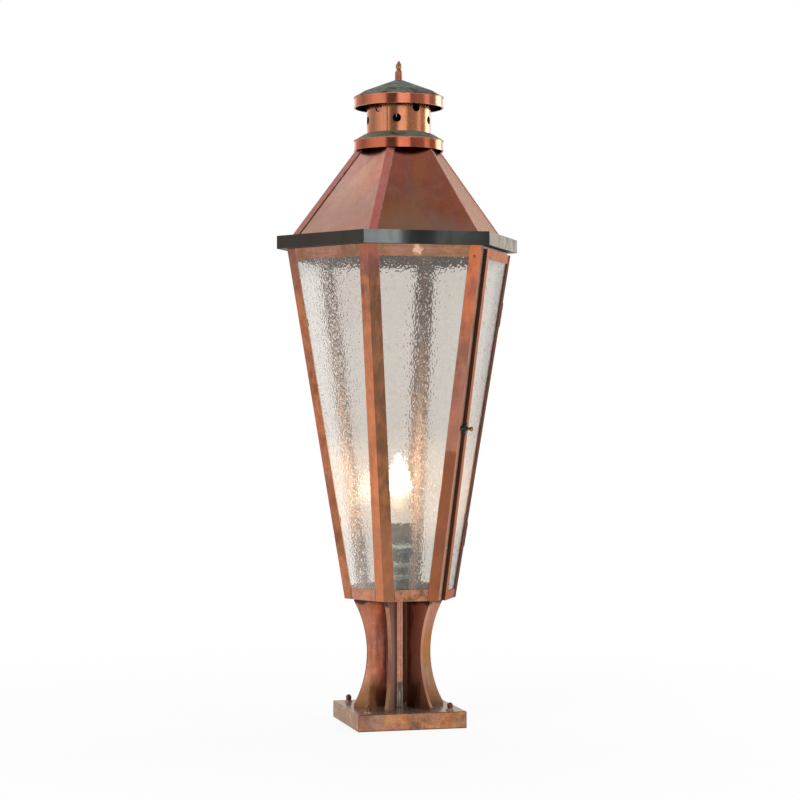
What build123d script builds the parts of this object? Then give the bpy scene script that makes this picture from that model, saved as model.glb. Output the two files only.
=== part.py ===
# Pier-mount lantern: square base, six-finned pedestal, glazed six-sided body with a door,
# hipped roof and vented cap. Millimetres, +Z up, origin at the centre of the base's underside.
# The front is -Y. Corners and sides are numbered anticlockwise from above, with corner 0 on +X.
import math
import os

from build123d import *

# Sheet, glass and fits
SHEET = 1.2
GLASS = 3.0
SEAM = 0.1
RUNNING_FIT = 0.05
SWING_GAP = 0.4
BOLT_GAP = 0.3

# Base box and mounting plate
BASE_SIDE = 135.5
BASE_HEIGHT = 20.5
BASE_SHEET = 1.6
BASE_EDGE_RADIUS = 1.0
PLATE_THICK = 3.0
PLATE_MARGIN = 2.0
ANCHOR_SPACING = 76.0
ANCHOR_HOLE_RADIUS = 3.6
CABLE_HOLE_RADIUS = 13.0
STUD_SPACING = 103.0
STUD_RADIUS = 2.5
WASHER_RADIUS = 5.0
WASHER_THICK = 1.6
BALL_RADIUS = 3.6
BALL_NECK_RADIUS = 3.3
BALL_RISE = 5.6

# Pedestal
PEDESTAL_HEIGHT = 134.5
FIN_THICK = 4.4
FIN_INNER_RADIUS = 16.0
FIN_WAIST_RADIUS = 40.2
FIN_FOOT_MARGIN = 11.0
FIN_HEAD_MARGIN = 12.3
FIN_TOE = 3.5
TUBE_RADIUS = 4.75
TUBE_WALL = 1.2
TUBE_FOOT = 3.0
TUBE_HEAD = 6.0
LOCKNUT_FLATS = 14.0
LOCKNUT_HEIGHT = 5.0
LEAD_RADIUS = 0.9
LEAD_BEND = 4.0
LEAD_TAIL = 22.0

# Body
BODY_HEIGHT = 429.0
BODY_FOOT_RADIUS = 68.8
BODY_HEAD_RADIUS = 141.0
POST_LEG = 14.0
RAIL_HEIGHT = 14.0
FLOOR_THICK = 1.5
PANE_EDGE = 5.0
PANE_SIDE_GAP = 2.6
CLIP_THICK = 0.8
CLIP_LENGTH = 8.0
CLIP_REACH = 6.0
CLIP_SHARES = (0.22, 0.78)

# Door
DOOR_INDEX = 5
DOOR_DEPTH = 5.2
DOOR_FRAME = 11.0
DOOR_LATCH_INSET = 12.0
DOOR_HINGE_INSET = 2.5
DOOR_TOP_GAP = 3.0
HINGE_SHARES = (0.18, 0.82)
HINGE_LENGTH = 30.0
HINGE_OFFSET = 3.0
KNUCKLE_RADIUS = 2.4
KNUCKLE_GAP = 0.4
LEAF_THICK = 0.9
LEAF_WIDTH = 11.0
PIN_RADIUS = 1.2
PIN_HEAD_RADIUS = 1.8
PIN_HEAD = 0.8
LATCH_RISE = 213.0
KNOB_BASE_RADIUS = 2.4
KNOB_BALL_RADIUS = 3.0
KNOB_LENGTH = 8.5
KNOB_TENON_RADIUS = 1.1
BUTTON_INSET = 6.5
BUTTON_LENGTH = 15.0
BUTTON_WIDTH = 6.0
BUTTON_THICK = 2.0
BUTTON_BORE = 1.4
RIVET_HEAD_RADIUS = 2.4
RIVET_HEAD = 1.2

# Eave band and roof
BAND_HEIGHT = 16.0
BAND_OVERHANG = 12.9
BAND_SHEET = 1.5
BAND_LEDGE = 26.0
EAVE_SETBACK = 19.8
ROOF_HEIGHT = 107.2
ROOF_TUCK = 8.0
HIP_STRIP_WIDTH = 10.0
HIP_STRIP_THICK = 1.2

# Vent cap
RIM_RADIUS = 55.0
RIM_HEIGHT = 13.3
BEAD = 0.7
BEAD_HEIGHT = 1.4
ROOF_SEAT_GAP = 0.2
CONE_SHOULDER = 11.5
CONE_SHOULDER_ANGLE = 31.5
CONE_ANGLE = 20.8
CHIMNEY_RADIUS = 39.6
CAP_SPACING = 53.6
VENT_RADIUS = 5.2
VENTS_PER_ROW = 5
VENT_FIRST_ANGLE = -107.8
VENT_LOW_RISE = 37.2
VENT_ROW_STEP = 13.5
BRIDGE_WIDTH = 12.0
BRIDGE_THICK = 2.0
BRIDGE_RISE = 25.0
ROD_RADIUS = 2.5
ROD_TAIL = 6.0
ROD_NUT_FLATS = 8.0
ROD_NUT_HEIGHT = 4.0
FINIAL_SEAT_RADIUS = 6.2
FINIAL_POST_RADIUS = 4.6
FINIAL_POST = 10.6
FINIAL_NECK_RADIUS = 2.6
FINIAL_NECK = 2.9
FINIAL_FLAME_RADIUS = 3.7
FINIAL_FLAME = 11.6

# Lamp
CUP_FLANGE_RADIUS = 21.0
CUP_STEM_RADIUS = 13.0
CUP_RIDGE_RADIUS = 16.0
CUP_TOP_RADIUS = 18.0
CUP_HEIGHT = 66.0
CUP_FLANGE = 3.0
CUP_SHOULDER = 8.0
CUP_RIDGE_RISE = 3.0
CUP_RIM = 10.0
CUP_RIDGE_SHARES = (0.4, 0.62)
CUP_BORE_RADIUS = 10.5
CUP_ROOF = 4.0
SOCKET_RADIUS = 17.0
SOCKET_HEIGHT = 25.0
SOCKET_FLOOR = 9.0
COLLAR_HEIGHT = 16.0
SHELL_RADIUS = 14.2
SHELL_WALL = 0.5
BULB_BASE_RADIUS = 13.3
BULB_BASE_HEIGHT = 26.0
BULB_BASE_TIP = 6.0
BULB_BASE_SKIRT = 4.0
THREAD_DEPTH = 0.6
THREAD_TURNS = 5
BULB_RADIUS = 17.2
BULB_NECK_RADIUS = 11.5
BULB_HEIGHT = 69.0
BULB_WALL = 0.8
FILAMENT_RADIUS = 2.2
FILAMENT_HEIGHT = 30.0
STEM_RADIUS = 3.5
STEM_HEIGHT = 18.0

# Levels that follow from the heights
BASE_TOP = BASE_HEIGHT
FLOOR_Z = BASE_TOP + PEDESTAL_HEIGHT
BAND_Z = FLOOR_Z + BODY_HEIGHT
ROOF_Z = BAND_Z + BAND_HEIGHT
CAP_Z = ROOF_Z + ROOF_HEIGHT
UPPER_CAP_Z = CAP_Z + CAP_SPACING
POST_TOP_Z = ROOF_Z - BAND_SHEET
CUP_Z = FLOOR_Z + FLOOR_THICK
SOCKET_Z = CUP_Z + CUP_HEIGHT
COLLAR_Z = SOCKET_Z + SOCKET_HEIGHT
BULB_Z = COLLAR_Z + COLLAR_HEIGHT
BULB_BASE_Z = BULB_Z - BULB_BASE_HEIGHT

# Radii that follow from the ones above
BAND_RADIUS = BODY_HEAD_RADIUS + BAND_OVERHANG
FIN_FOOT_RADIUS = BASE_SIDE / 2 - FIN_FOOT_MARGIN
FIN_HEAD_RADIUS = BODY_FOOT_RADIUS - FIN_HEAD_MARGIN
ROOF_FOOT_RADIUS = BAND_RADIUS - EAVE_SETBACK
ROOF_HEAD_RADIUS = RIM_RADIUS - SHEET - ROOF_SEAT_GAP
FLAT = math.cos(math.radians(30))
BODY_LEAN = math.atan2((BODY_HEAD_RADIUS - BODY_FOOT_RADIUS) * FLAT, BODY_HEIGHT)
UP = Vector(0, 0, 1)


def corner(index):
    """Unit vector from the axis to a corner of the hexagon."""
    angle = math.radians(60 * index)
    return Vector(math.cos(angle), math.sin(angle), 0)


def body_radius(z):
    """Corner radius of the body's outside at a level."""
    return BODY_FOOT_RADIUS + (BODY_HEAD_RADIUS - BODY_FOOT_RADIUS) * (z - FLOOR_Z) / BODY_HEIGHT


def prism(points, along):
    """Solid swept from a flat polygon along a vector."""
    return Solid.extrude(Face(Wire.make_polygon(points)), along)


def turned(points):
    """Solid turned about Z from (radius, height) points."""
    return revolve(Plane.XZ * Polygon(*points, align=None), Axis.Z)


def disc(radius, low, high):
    """Upright cylinder on the axis between two levels."""
    return Pos(0, 0, (low + high) / 2) * Cylinder(radius, high - low)


def pipe(outer, inner, low, high):
    """Upright ring on the axis between two levels."""
    return disc(outer, low, high) - disc(inner, low - 1, high + 1)


def hex_nut(flats, hole, low, high):
    """Hexagonal nut on the axis."""
    blank = extrude(Pos(0, 0, low) * RegularPolygon(flats / 2, 6, major_radius=False), high - low)
    return blank - disc(hole, low - 1, high + 1)


class Side:
    """A sloping side of the hexagon: x runs along it, y up the slope and z outwards."""

    def __init__(self, index, foot_radius, foot_z, head_radius, head_z):
        left = corner(index)
        right = corner(index + 1)
        foot = (left + right) * (foot_radius / 2) + UP * foot_z
        slope = (left + right) * (head_radius / 2) + UP * head_z - foot
        along = (right - left).normalized()
        self.plane = Plane(origin=foot, x_dir=along, z_dir=along.cross(slope))
        self.length = slope.length
        self.climb = (head_z - foot_z) / slope.length
        self.foot_half = foot_radius / 2
        self.spread = (head_radius - foot_radius) / 2 / slope.length
        self.skew = math.hypot(1, self.spread)

    def half(self, rise):
        """Half the side's width at a height up the slope."""
        return self.foot_half + self.spread * rise

    def outline(self, low, high, left, right):
        """Trapezium between two heights, set in from the left and right corners."""
        return [
            (left - self.half(low), low),
            (self.half(low) - right, low),
            (self.half(high) - right, high),
            (left - self.half(high), high),
        ]

    def slab(self, points, inner, outer):
        """Plate with this outline between two depths, measured outwards."""
        placed = [self.plane.from_local_coords((x, y, inner)) for x, y in points]
        return prism(placed, self.plane.z_dir * (outer - inner))

    def hook(self, points, low, high, hand):
        """Bar of (x, depth) section up the slope, beside the left (-1) or right (1) corner."""
        placed = [(hand * (self.half(low) - x), low, depth) for x, depth in points]
        placed = [self.plane.from_local_coords(point) for point in placed]
        lean = self.plane.x_dir * self.spread * hand + self.plane.y_dir
        return prism(placed, lean * (high - low))

    def spindle(self, x, rise, radius, inner, outer):
        """Cylinder square to the side between two depths."""
        spot = self.plane.from_local_coords((x, rise, (inner + outer) / 2))
        return Plane(origin=spot, z_dir=self.plane.z_dir) * Cylinder(radius, outer - inner)


def body_side(index):
    return Side(index, BODY_FOOT_RADIUS, FLOOR_Z, BODY_HEAD_RADIUS, BAND_Z)


def roof_side(index):
    return Side(index, ROOF_FOOT_RADIUS, ROOF_Z, ROOF_HEAD_RADIUS, CAP_Z)


def mitred(index, section):
    """Bar of (flat radius, height) section along one side, cut at the corner planes."""
    left = corner(index)
    right = corner(index + 1)
    out = (left + right).normalized()
    along = (right - left).normalized()
    reach = BAND_RADIUS
    points = [out * flat + UP * z - along * reach for flat, z in section]
    low = min(z for _, z in section) - 1
    high = max(z for _, z in section) + 1
    wedge = prism([UP * low, left * 2 * reach + UP * low, right * 2 * reach + UP * low], UP * (high - low))
    return prism(points, along * 2 * reach) & wedge


def at_studs(solid):
    """Copies of a solid at the four stud places."""
    half = STUD_SPACING / 2
    return [Pos(x, y, 0) * solid for x in (-half, half) for y in (-half, half)]


# Base
def mounting_plate():
    side = BASE_SIDE - 2 * BASE_SHEET - 2 * PLATE_MARGIN
    plate = Pos(0, 0, PLATE_THICK / 2) * Box(side, side, PLATE_THICK)
    plate -= disc(CABLE_HOLE_RADIUS, -1, PLATE_THICK + 1)
    half = ANCHOR_SPACING / 2
    for x in (-half, half):
        for y in (-half, half):
            plate -= Pos(x, y, 0) * disc(ANCHOR_HOLE_RADIUS, -1, PLATE_THICK + 1)
    return plate


def base_box():
    box = Pos(0, 0, BASE_HEIGHT / 2) * Box(BASE_SIDE, BASE_SIDE, BASE_HEIGHT)
    box = fillet(box.edges().group_by(Axis.Z)[-1], BASE_EDGE_RADIUS)
    inside = BASE_SIDE - 2 * BASE_SHEET
    depth = BASE_HEIGHT - BASE_SHEET
    box -= Pos(0, 0, depth / 2 - 1) * Box(inside, inside, depth + 2)
    box -= disc(TUBE_RADIUS + SEAM, 0, BASE_TOP + 1)
    for hole in at_studs(disc(STUD_RADIUS + BOLT_GAP, 0, BASE_TOP + 1)):
        box -= hole
    return box


def ball_nut():
    low = BASE_TOP + WASHER_THICK
    centre = BASE_TOP + BALL_RISE
    nut = disc(BALL_NECK_RADIUS, low, centre) + Pos(0, 0, centre) * Sphere(BALL_RADIUS)
    return nut - disc(STUD_RADIUS + RUNNING_FIT, low - 1, centre + RUNNING_FIT)


# Pedestal
def fin(index):
    low = BASE_TOP
    high = FLOOR_Z
    toe = [(FIN_INNER_RADIUS, low), (FIN_FOOT_RADIUS, low), (FIN_FOOT_RADIUS, low + FIN_TOE)]
    head = [(FIN_HEAD_RADIUS, high - FIN_TOE), (FIN_HEAD_RADIUS, high), (FIN_INNER_RADIUS, high)]
    hollow = ThreePointArc(toe[-1], (FIN_WAIST_RADIUS, (low + high) / 2), head[0])
    outline = [*Polyline(*toe).edges(), hollow, *Polyline(*head).edges(), Line(head[-1], toe[0])]
    plate = extrude(Plane.XZ * Face(Wire(outline)), FIN_THICK / 2, both=True)
    return Rot(0, 0, 60 * index) * plate


def locknuts():
    hole = TUBE_RADIUS + RUNNING_FIT
    under = BASE_TOP - BASE_SHEET
    return [
        hex_nut(LOCKNUT_FLATS, hole, under - LOCKNUT_HEIGHT, under),
        hex_nut(LOCKNUT_FLATS, hole, CUP_Z, CUP_Z + LOCKNUT_HEIGHT),
    ]


def tube():
    foot = BASE_TOP - BASE_SHEET - LOCKNUT_HEIGHT - TUBE_FOOT
    return pipe(TUBE_RADIUS, TUBE_RADIUS - TUBE_WALL, foot, SOCKET_Z + TUBE_HEAD)


def leads():
    offset = TUBE_RADIUS - TUBE_WALL - LEAD_RADIUS - 2 * SEAM
    low = PLATE_THICK + LEAD_RADIUS + 2
    high = SOCKET_Z + SOCKET_FLOOR
    made = []
    for sign in (-1, 1):
        start = (sign * offset, 0, high)
        bend = (sign * offset, 0, low)
        tail = (sign * (offset + LEAD_TAIL), 0, low)
        path = FilletPolyline(start, bend, tail, radius=LEAD_BEND)
        section = Plane(origin=start, z_dir=(0, 0, -1)) * Circle(LEAD_RADIUS)
        made.append(sweep(section, path=path))
    return made


# Body
def floor_pan():
    inset = SHEET / math.cos(BODY_LEAN) + SEAM
    flats = BODY_FOOT_RADIUS * FLAT - inset
    plate = RegularPolygon(flats, 6, major_radius=False, rotation=0)
    pan = extrude(Pos(0, 0, FLOOR_Z) * plate, FLOOR_THICK)
    return pan - disc(TUBE_RADIUS + SEAM, FLOOR_Z - 1, CUP_Z + 1)


def corner_post(index):
    wall = SHEET / math.cos(BODY_LEAN)
    out = corner(index)
    tip = out * BODY_FOOT_RADIUS + UP * FLOOR_Z
    heel = out * (BODY_FOOT_RADIUS - wall / FLAT) + UP * FLOOR_Z
    before = (corner(index - 1) - out).normalized()
    after = (corner(index + 1) - out).normalized()
    into_before = (corner(index - 1) + out).normalized() * -wall
    into_after = (corner(index + 1) + out).normalized() * -wall
    section = [
        tip,
        tip + before * POST_LEG,
        tip + before * POST_LEG + into_before,
        heel,
        tip + after * POST_LEG + into_after,
        tip + after * POST_LEG,
    ]
    rise = POST_TOP_Z - FLOOR_Z
    post = prism(section, out * (body_radius(POST_TOP_Z) - BODY_FOOT_RADIUS) + UP * rise)
    if index == DOOR_INDEX:
        side = body_side(DOOR_INDEX)
        x = BUTTON_INSET - side.half(LATCH_RISE)
        post -= side.spindle(x, LATCH_RISE, BUTTON_BORE, -2 * SHEET, SHEET)
    return post


def rails(low, high):
    inset = POST_LEG + SEAM
    made = []
    for index in range(6):
        side = body_side(index)
        made.append(side.slab(side.outline(low, high, inset, inset), -SHEET, 0))
    return made


def bottom_rails():
    return rails(0, RAIL_HEIGHT)


def top_rails():
    side = body_side(0)
    return rails(side.length - RAIL_HEIGHT, (POST_TOP_Z - FLOOR_Z) / side.climb - BOLT_GAP)


PANE_FRONT = SHEET + SEAM
PANE_BACK = PANE_FRONT + GLASS
PANE_INSET = (PANE_BACK - PANE_FRONT / 2) / FLAT + PANE_SIDE_GAP


def pane(index):
    side = body_side(index)
    outline = side.outline(PANE_EDGE, side.length - PANE_EDGE, PANE_INSET, PANE_INSET)
    return side.slab(outline, -PANE_BACK, -PANE_FRONT)


def clip_section(root, edge, back, reach):
    """Hooked (x, depth) section that holds a pane's edge from behind."""
    foot = edge - SEAM
    return [
        (foot - CLIP_THICK, root),
        (foot, root),
        (foot, back),
        (foot + reach, back),
        (foot + reach, back - CLIP_THICK),
        (foot - CLIP_THICK, back - CLIP_THICK),
    ]


def pane_clips():
    section = clip_section(-SHEET, PANE_INSET, -PANE_BACK, CLIP_REACH)
    made = []
    for index in range(6):
        if index == DOOR_INDEX:
            continue
        side = body_side(index)
        for share in CLIP_SHARES:
            low = share * side.length
            for hand in (-1, 1):
                made.append(side.hook(section, low, low + CLIP_LENGTH, hand))
    return made


# Door
DOOR_LOW = 0
DOOR_HIGH = body_side(DOOR_INDEX).length - DOOR_TOP_GAP
DOOR_BACK = SWING_GAP
DOOR_GLASS_FRONT = DOOR_DEPTH - SHEET - SEAM
DOOR_GLASS_BACK = DOOR_GLASS_FRONT - GLASS


def door_outline(inset):
    side = body_side(DOOR_INDEX)
    left = DOOR_LATCH_INSET + inset * side.skew
    right = (DOOR_HINGE_INSET + inset) * side.skew
    return side.outline(DOOR_LOW + inset, DOOR_HIGH - inset, left, right)


def knob_x():
    return DOOR_LATCH_INSET + DOOR_FRAME / 2 - body_side(DOOR_INDEX).half(LATCH_RISE)


def door_frame():
    side = body_side(DOOR_INDEX)
    frame = side.slab(door_outline(0), DOOR_BACK, DOOR_DEPTH)
    frame -= side.slab(door_outline(SHEET), DOOR_BACK - 1, DOOR_DEPTH - SHEET)
    frame -= side.slab(door_outline(DOOR_FRAME), DOOR_BACK - 1, DOOR_DEPTH + 1)
    return frame - side.spindle(knob_x(), LATCH_RISE, KNOB_TENON_RADIUS + SEAM, 0, DOOR_DEPTH + 1)


DOOR_PANE_INSET = SHEET + CLIP_THICK + 3 * SEAM


def door_pane():
    side = body_side(DOOR_INDEX)
    return side.slab(door_outline(DOOR_PANE_INSET), DOOR_GLASS_BACK, DOOR_GLASS_FRONT)


def door_clips():
    side = body_side(DOOR_INDEX)
    root = DOOR_DEPTH - SHEET
    latch = clip_section(root, DOOR_LATCH_INSET + DOOR_PANE_INSET * side.skew, DOOR_GLASS_BACK, CLIP_REACH)
    hinge_edge = (DOOR_HINGE_INSET + DOOR_PANE_INSET) * side.skew
    hinge = clip_section(root, hinge_edge, DOOR_GLASS_BACK, CLIP_REACH)
    made = []
    for share in CLIP_SHARES:
        low = share * side.length
        made.append(side.hook(latch, low, low + CLIP_LENGTH, -1))
        made.append(side.hook(hinge, low, low + CLIP_LENGTH, 1))
    return made


def hinge_frame(share):
    """Plane whose z is the hinge axis and whose origin is a hinge's middle, on that axis."""
    z = FLOOR_Z + share * BODY_HEIGHT
    axis = (corner(0) * (BODY_HEAD_RADIUS - BODY_FOOT_RADIUS) + UP * BODY_HEIGHT).normalized()
    out = corner(0) * axis.Z - UP * axis.X
    spot = corner(0) * body_radius(z) + UP * z + out * HINGE_OFFSET
    return Plane(origin=spot, x_dir=out, z_dir=axis)


def hinge_spot(frame, side, mirror, along, depth):
    """Point in a hinge's frame at a distance from the corner along a side, and out from it."""
    out = side.plane.z_dir
    normal = Vector(out.dot(frame.x_dir), out.dot(frame.y_dir))
    run = Vector(-normal.Y, normal.X) * mirror
    place = run * along + normal * depth
    return (place.X - HINGE_OFFSET, place.Y)


def hinge_block(frame, side, mirror, span_along, span_depth, low, high):
    """Block in a hinge's frame between distances along a side, depths and axial heights."""
    square = [(0, 0), (1, 0), (1, 1), (0, 1)]
    points = [hinge_spot(frame, side, mirror, span_along[i], span_depth[j]) for i, j in square]
    placed = [frame.from_local_coords((x, y, low)) for x, y in points]
    return prism(placed, frame.z_dir * (high - low))


def knuckle(frame, low, high):
    barrel = Pos(0, 0, (low + high) / 2) * Cylinder(KNUCKLE_RADIUS, high - low)
    return frame * barrel


def pin_hole(frame):
    return frame * Cylinder(PIN_RADIUS + RUNNING_FIT, HINGE_LENGTH * 2)


KNUCKLE_HALF = (HINGE_LENGTH - 2 * KNUCKLE_GAP) / 6
HINGE_HALF = HINGE_LENGTH / 2


def post_leaves():
    side = body_side(0)
    made = []
    for share in HINGE_SHARES:
        frame = hinge_frame(share)
        sheet = (0, LEAF_THICK)
        leaf = hinge_block(frame, side, 1, (KNUCKLE_RADIUS, LEAF_WIDTH), sheet, -HINGE_HALF, HINGE_HALF)
        clear = KNUCKLE_HALF + KNUCKLE_GAP
        for low, high in ((-HINGE_HALF, -clear), (clear, HINGE_HALF)):
            leaf += hinge_block(frame, side, 1, (0, LEAF_WIDTH), sheet, low, high)
            leaf += knuckle(frame, low, high)
        made.append(leaf - pin_hole(frame))
    return made


def door_leaves():
    side = body_side(DOOR_INDEX)
    made = []
    near = DOOR_HINGE_INSET - LEAF_THICK
    for share in HINGE_SHARES:
        frame = hinge_frame(share)
        centre = HINGE_OFFSET * math.cos(math.radians(30))
        web = (centre - LEAF_THICK, centre + LEAF_THICK)
        depth = (DOOR_BACK, DOOR_DEPTH - SHEET)
        leaf = hinge_block(frame, side, -1, (near, DOOR_HINGE_INSET), depth, -HINGE_HALF, HINGE_HALF)
        leaf += hinge_block(frame, side, -1, (0, near), web, -KNUCKLE_HALF, KNUCKLE_HALF)
        leaf += knuckle(frame, -KNUCKLE_HALF, KNUCKLE_HALF)
        made.append(leaf - pin_hole(frame))
    return made


def hinge_pins():
    made = []
    for share in HINGE_SHARES:
        shank = Cylinder(PIN_RADIUS, HINGE_LENGTH + 2 * PIN_HEAD)
        for sign in (-1, 1):
            shank += Pos(0, 0, sign * (HINGE_HALF + PIN_HEAD / 2)) * Cylinder(PIN_HEAD_RADIUS, PIN_HEAD)
        made.append(hinge_frame(share) * shank)
    return made


def on_door_side(x, solid):
    """A solid made about the origin, placed on the door side at the latch's height."""
    plane = body_side(DOOR_INDEX).plane
    spot = plane.from_local_coords((x, LATCH_RISE, 0))
    return Plane(origin=spot, x_dir=plane.x_dir, z_dir=plane.z_dir) * solid


def door_knob():
    face = DOOR_DEPTH
    centre = face + KNOB_LENGTH - KNOB_BALL_RADIUS
    knob = disc(KNOB_TENON_RADIUS, face - SHEET, centre)
    knob += disc(KNOB_BASE_RADIUS, face, face + 1)
    knob += disc(KNOB_TENON_RADIUS * 1.5, face, centre)
    knob += Pos(0, 0, centre) * Sphere(KNOB_BALL_RADIUS)
    return on_door_side(knob_x(), knob)


BUTTON_BACK = DOOR_DEPTH + SWING_GAP
BUTTON_FRONT = BUTTON_BACK + BUTTON_THICK


def turn_button():
    outline = SlotOverall(BUTTON_LENGTH, BUTTON_WIDTH, rotation=90)
    blade = extrude(Pos(0, 0, BUTTON_BACK) * outline, BUTTON_THICK)
    button = blade + disc(BUTTON_WIDTH / 2, SWING_GAP, BUTTON_BACK)
    button -= disc(BUTTON_BORE + RUNNING_FIT, 0, BUTTON_FRONT + 1)
    return on_door_side(BUTTON_INSET - body_side(DOOR_INDEX).half(LATCH_RISE), button)


def button_rivet():
    head = BUTTON_FRONT + SWING_GAP
    rivet = disc(BUTTON_BORE, -SHEET - RIVET_HEAD, head)
    rivet += disc(RIVET_HEAD_RADIUS, head, head + RIVET_HEAD)
    rivet += disc(RIVET_HEAD_RADIUS, -SHEET - RIVET_HEAD, -SHEET)
    return on_door_side(BUTTON_INSET - body_side(DOOR_INDEX).half(LATCH_RISE), rivet)


# Eave band and roof
def eave_band():
    outer = BAND_RADIUS * FLAT
    neck = body_radius(BAND_Z + BAND_SHEET) * FLAT + SEAM
    ledge = outer - BAND_LEDGE
    low = BAND_Z + BAND_SHEET
    high = ROOF_Z - BAND_SHEET
    wall = outer - BAND_SHEET
    section = [
        (neck, BAND_Z),
        (outer, BAND_Z),
        (outer, ROOF_Z),
        (ledge, ROOF_Z),
        (ledge, high),
        (wall, high),
        (wall, low),
        (neck, low),
    ]
    return [mitred(index, section) for index in range(6)]


def roof_flat(z):
    share = (z - ROOF_Z) / ROOF_HEIGHT
    return (ROOF_FOOT_RADIUS + (ROOF_HEAD_RADIUS - ROOF_FOOT_RADIUS) * share) * FLAT


def roof_panel(index):
    pitch = math.atan2(ROOF_HEIGHT, roof_flat(ROOF_Z) - roof_flat(CAP_Z))
    wall = SHEET / math.sin(pitch)
    top = CAP_Z + ROOF_TUCK
    section = [
        (roof_flat(ROOF_Z) - wall, ROOF_Z),
        (roof_flat(ROOF_Z), ROOF_Z),
        (roof_flat(top), top),
        (roof_flat(top) - wall, top),
    ]
    return mitred(index, section)


def hip_strips():
    made = []
    for index in range(6):
        side = roof_side(index)
        outline = side.outline(0, side.length - HIP_STRIP_THICK, 0, 0)
        low, high = outline[0], outline[3]
        wide = HIP_STRIP_WIDTH
        points = [low, (low[0] + wide, low[1]), (high[0] + wide, high[1]), high]
        made.append(side.slab(points, 0, HIP_STRIP_THICK))
    return made


# Vent cap
def cone_rise(radius):
    """Height of a cap's cone above its rim at a radius: steeper at the shoulder by the rim."""
    run = RIM_RADIUS - radius
    steep = min(run, CONE_SHOULDER)
    easy = max(run - CONE_SHOULDER, 0)
    return steep * math.tan(math.radians(CONE_SHOULDER_ANGLE)) + easy * math.tan(math.radians(CONE_ANGLE))


CONE_WALL = SHEET / math.cos(math.radians(CONE_SHOULDER_ANGLE))


def cap(rim_z, hole):
    """Turned cap: a beaded rim, a cone and a central hole."""
    top = rim_z + RIM_HEIGHT
    bend = RIM_RADIUS - CONE_SHOULDER
    profile = [
        (RIM_RADIUS - SHEET, rim_z),
        (RIM_RADIUS + BEAD, rim_z),
        (RIM_RADIUS + BEAD, rim_z + BEAD_HEIGHT),
        (RIM_RADIUS, rim_z + BEAD_HEIGHT),
        (RIM_RADIUS, top - BEAD_HEIGHT),
        (RIM_RADIUS + BEAD, top - BEAD_HEIGHT),
        (RIM_RADIUS + BEAD, top),
        (RIM_RADIUS, top),
        (bend, top + cone_rise(bend)),
        (hole, top + cone_rise(hole)),
        (hole, top + cone_rise(hole) - CONE_WALL),
        (bend, top + cone_rise(bend) - CONE_WALL),
        (RIM_RADIUS - SHEET, top + cone_rise(RIM_RADIUS - SHEET) - CONE_WALL),
    ]
    return turned(profile)


def lower_cap():
    return cap(CAP_Z, CHIMNEY_RADIUS + SEAM)


def upper_cap():
    crown = cap(UPPER_CAP_Z, FINIAL_SEAT_RADIUS)
    crown += pipe(FINIAL_SEAT_RADIUS, ROD_RADIUS + SEAM, FINIAL_Z - 2 * SHEET, FINIAL_Z)
    return crown


FINIAL_Z = UPPER_CAP_Z + RIM_HEIGHT + cone_rise(FINIAL_SEAT_RADIUS)


def chimney():
    low = CAP_Z + ROOF_TUCK + 1
    high = UPPER_CAP_Z + RIM_HEIGHT + cone_rise(CHIMNEY_RADIUS) - CONE_WALL - SEAM
    shell = pipe(CHIMNEY_RADIUS, CHIMNEY_RADIUS - SHEET, low, high)
    step = 180 / VENTS_PER_ROW
    for count in range(2 * VENTS_PER_ROW):
        z = CAP_Z + VENT_LOW_RISE + VENT_ROW_STEP * (count % 2)
        drill = Pos(CHIMNEY_RADIUS, 0, z) * Rot(0, 90, 0) * Cylinder(VENT_RADIUS, CHIMNEY_RADIUS)
        shell -= Rot(0, 0, VENT_FIRST_ANGLE + step * count) * drill
    return shell


BRIDGE_Z = CAP_Z + BRIDGE_RISE


def chimney_bridge():
    inside = CHIMNEY_RADIUS - SHEET - SEAM
    bar = Pos(0, 0, BRIDGE_Z + BRIDGE_THICK / 2) * Box(2 * inside, BRIDGE_WIDTH, BRIDGE_THICK)
    bar &= disc(inside, BRIDGE_Z - 1, BRIDGE_Z + BRIDGE_THICK + 1)
    return bar - disc(ROD_RADIUS + SEAM, BRIDGE_Z - 1, BRIDGE_Z + BRIDGE_THICK + 1)


def cap_rod():
    return disc(ROD_RADIUS, BRIDGE_Z - ROD_TAIL, FINIAL_Z + FINIAL_POST * 0.7)


def rod_nuts():
    hole = ROD_RADIUS + RUNNING_FIT
    top = BRIDGE_Z + BRIDGE_THICK
    return [
        hex_nut(ROD_NUT_FLATS, hole, BRIDGE_Z - ROD_NUT_HEIGHT, BRIDGE_Z),
        hex_nut(ROD_NUT_FLATS, hole, top, top + ROD_NUT_HEIGHT),
    ]


def finial():
    post_top = FINIAL_Z + FINIAL_POST
    neck_top = post_top + FINIAL_NECK
    belly = neck_top + FINIAL_FLAME * 0.42
    tip = neck_top + FINIAL_FLAME
    base = Polyline(
        (0, FINIAL_Z),
        (FINIAL_POST_RADIUS, FINIAL_Z),
        (FINIAL_POST_RADIUS, post_top),
        (FINIAL_NECK_RADIUS, neck_top),
    )
    flame = Spline(
        (FINIAL_NECK_RADIUS, neck_top),
        (FINIAL_FLAME_RADIUS, belly),
        (FINIAL_FLAME_RADIUS * 0.62, (belly + tip) / 2),
        (0, tip),
    )
    outline = [*base.edges(), flame, Line((0, tip), (0, FINIAL_Z))]
    solid = revolve(Plane.XZ * Face(Wire(outline)), Axis.Z)
    return solid - disc(ROD_RADIUS + RUNNING_FIT, FINIAL_Z - 1, FINIAL_Z + FINIAL_POST * 0.75)


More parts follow.
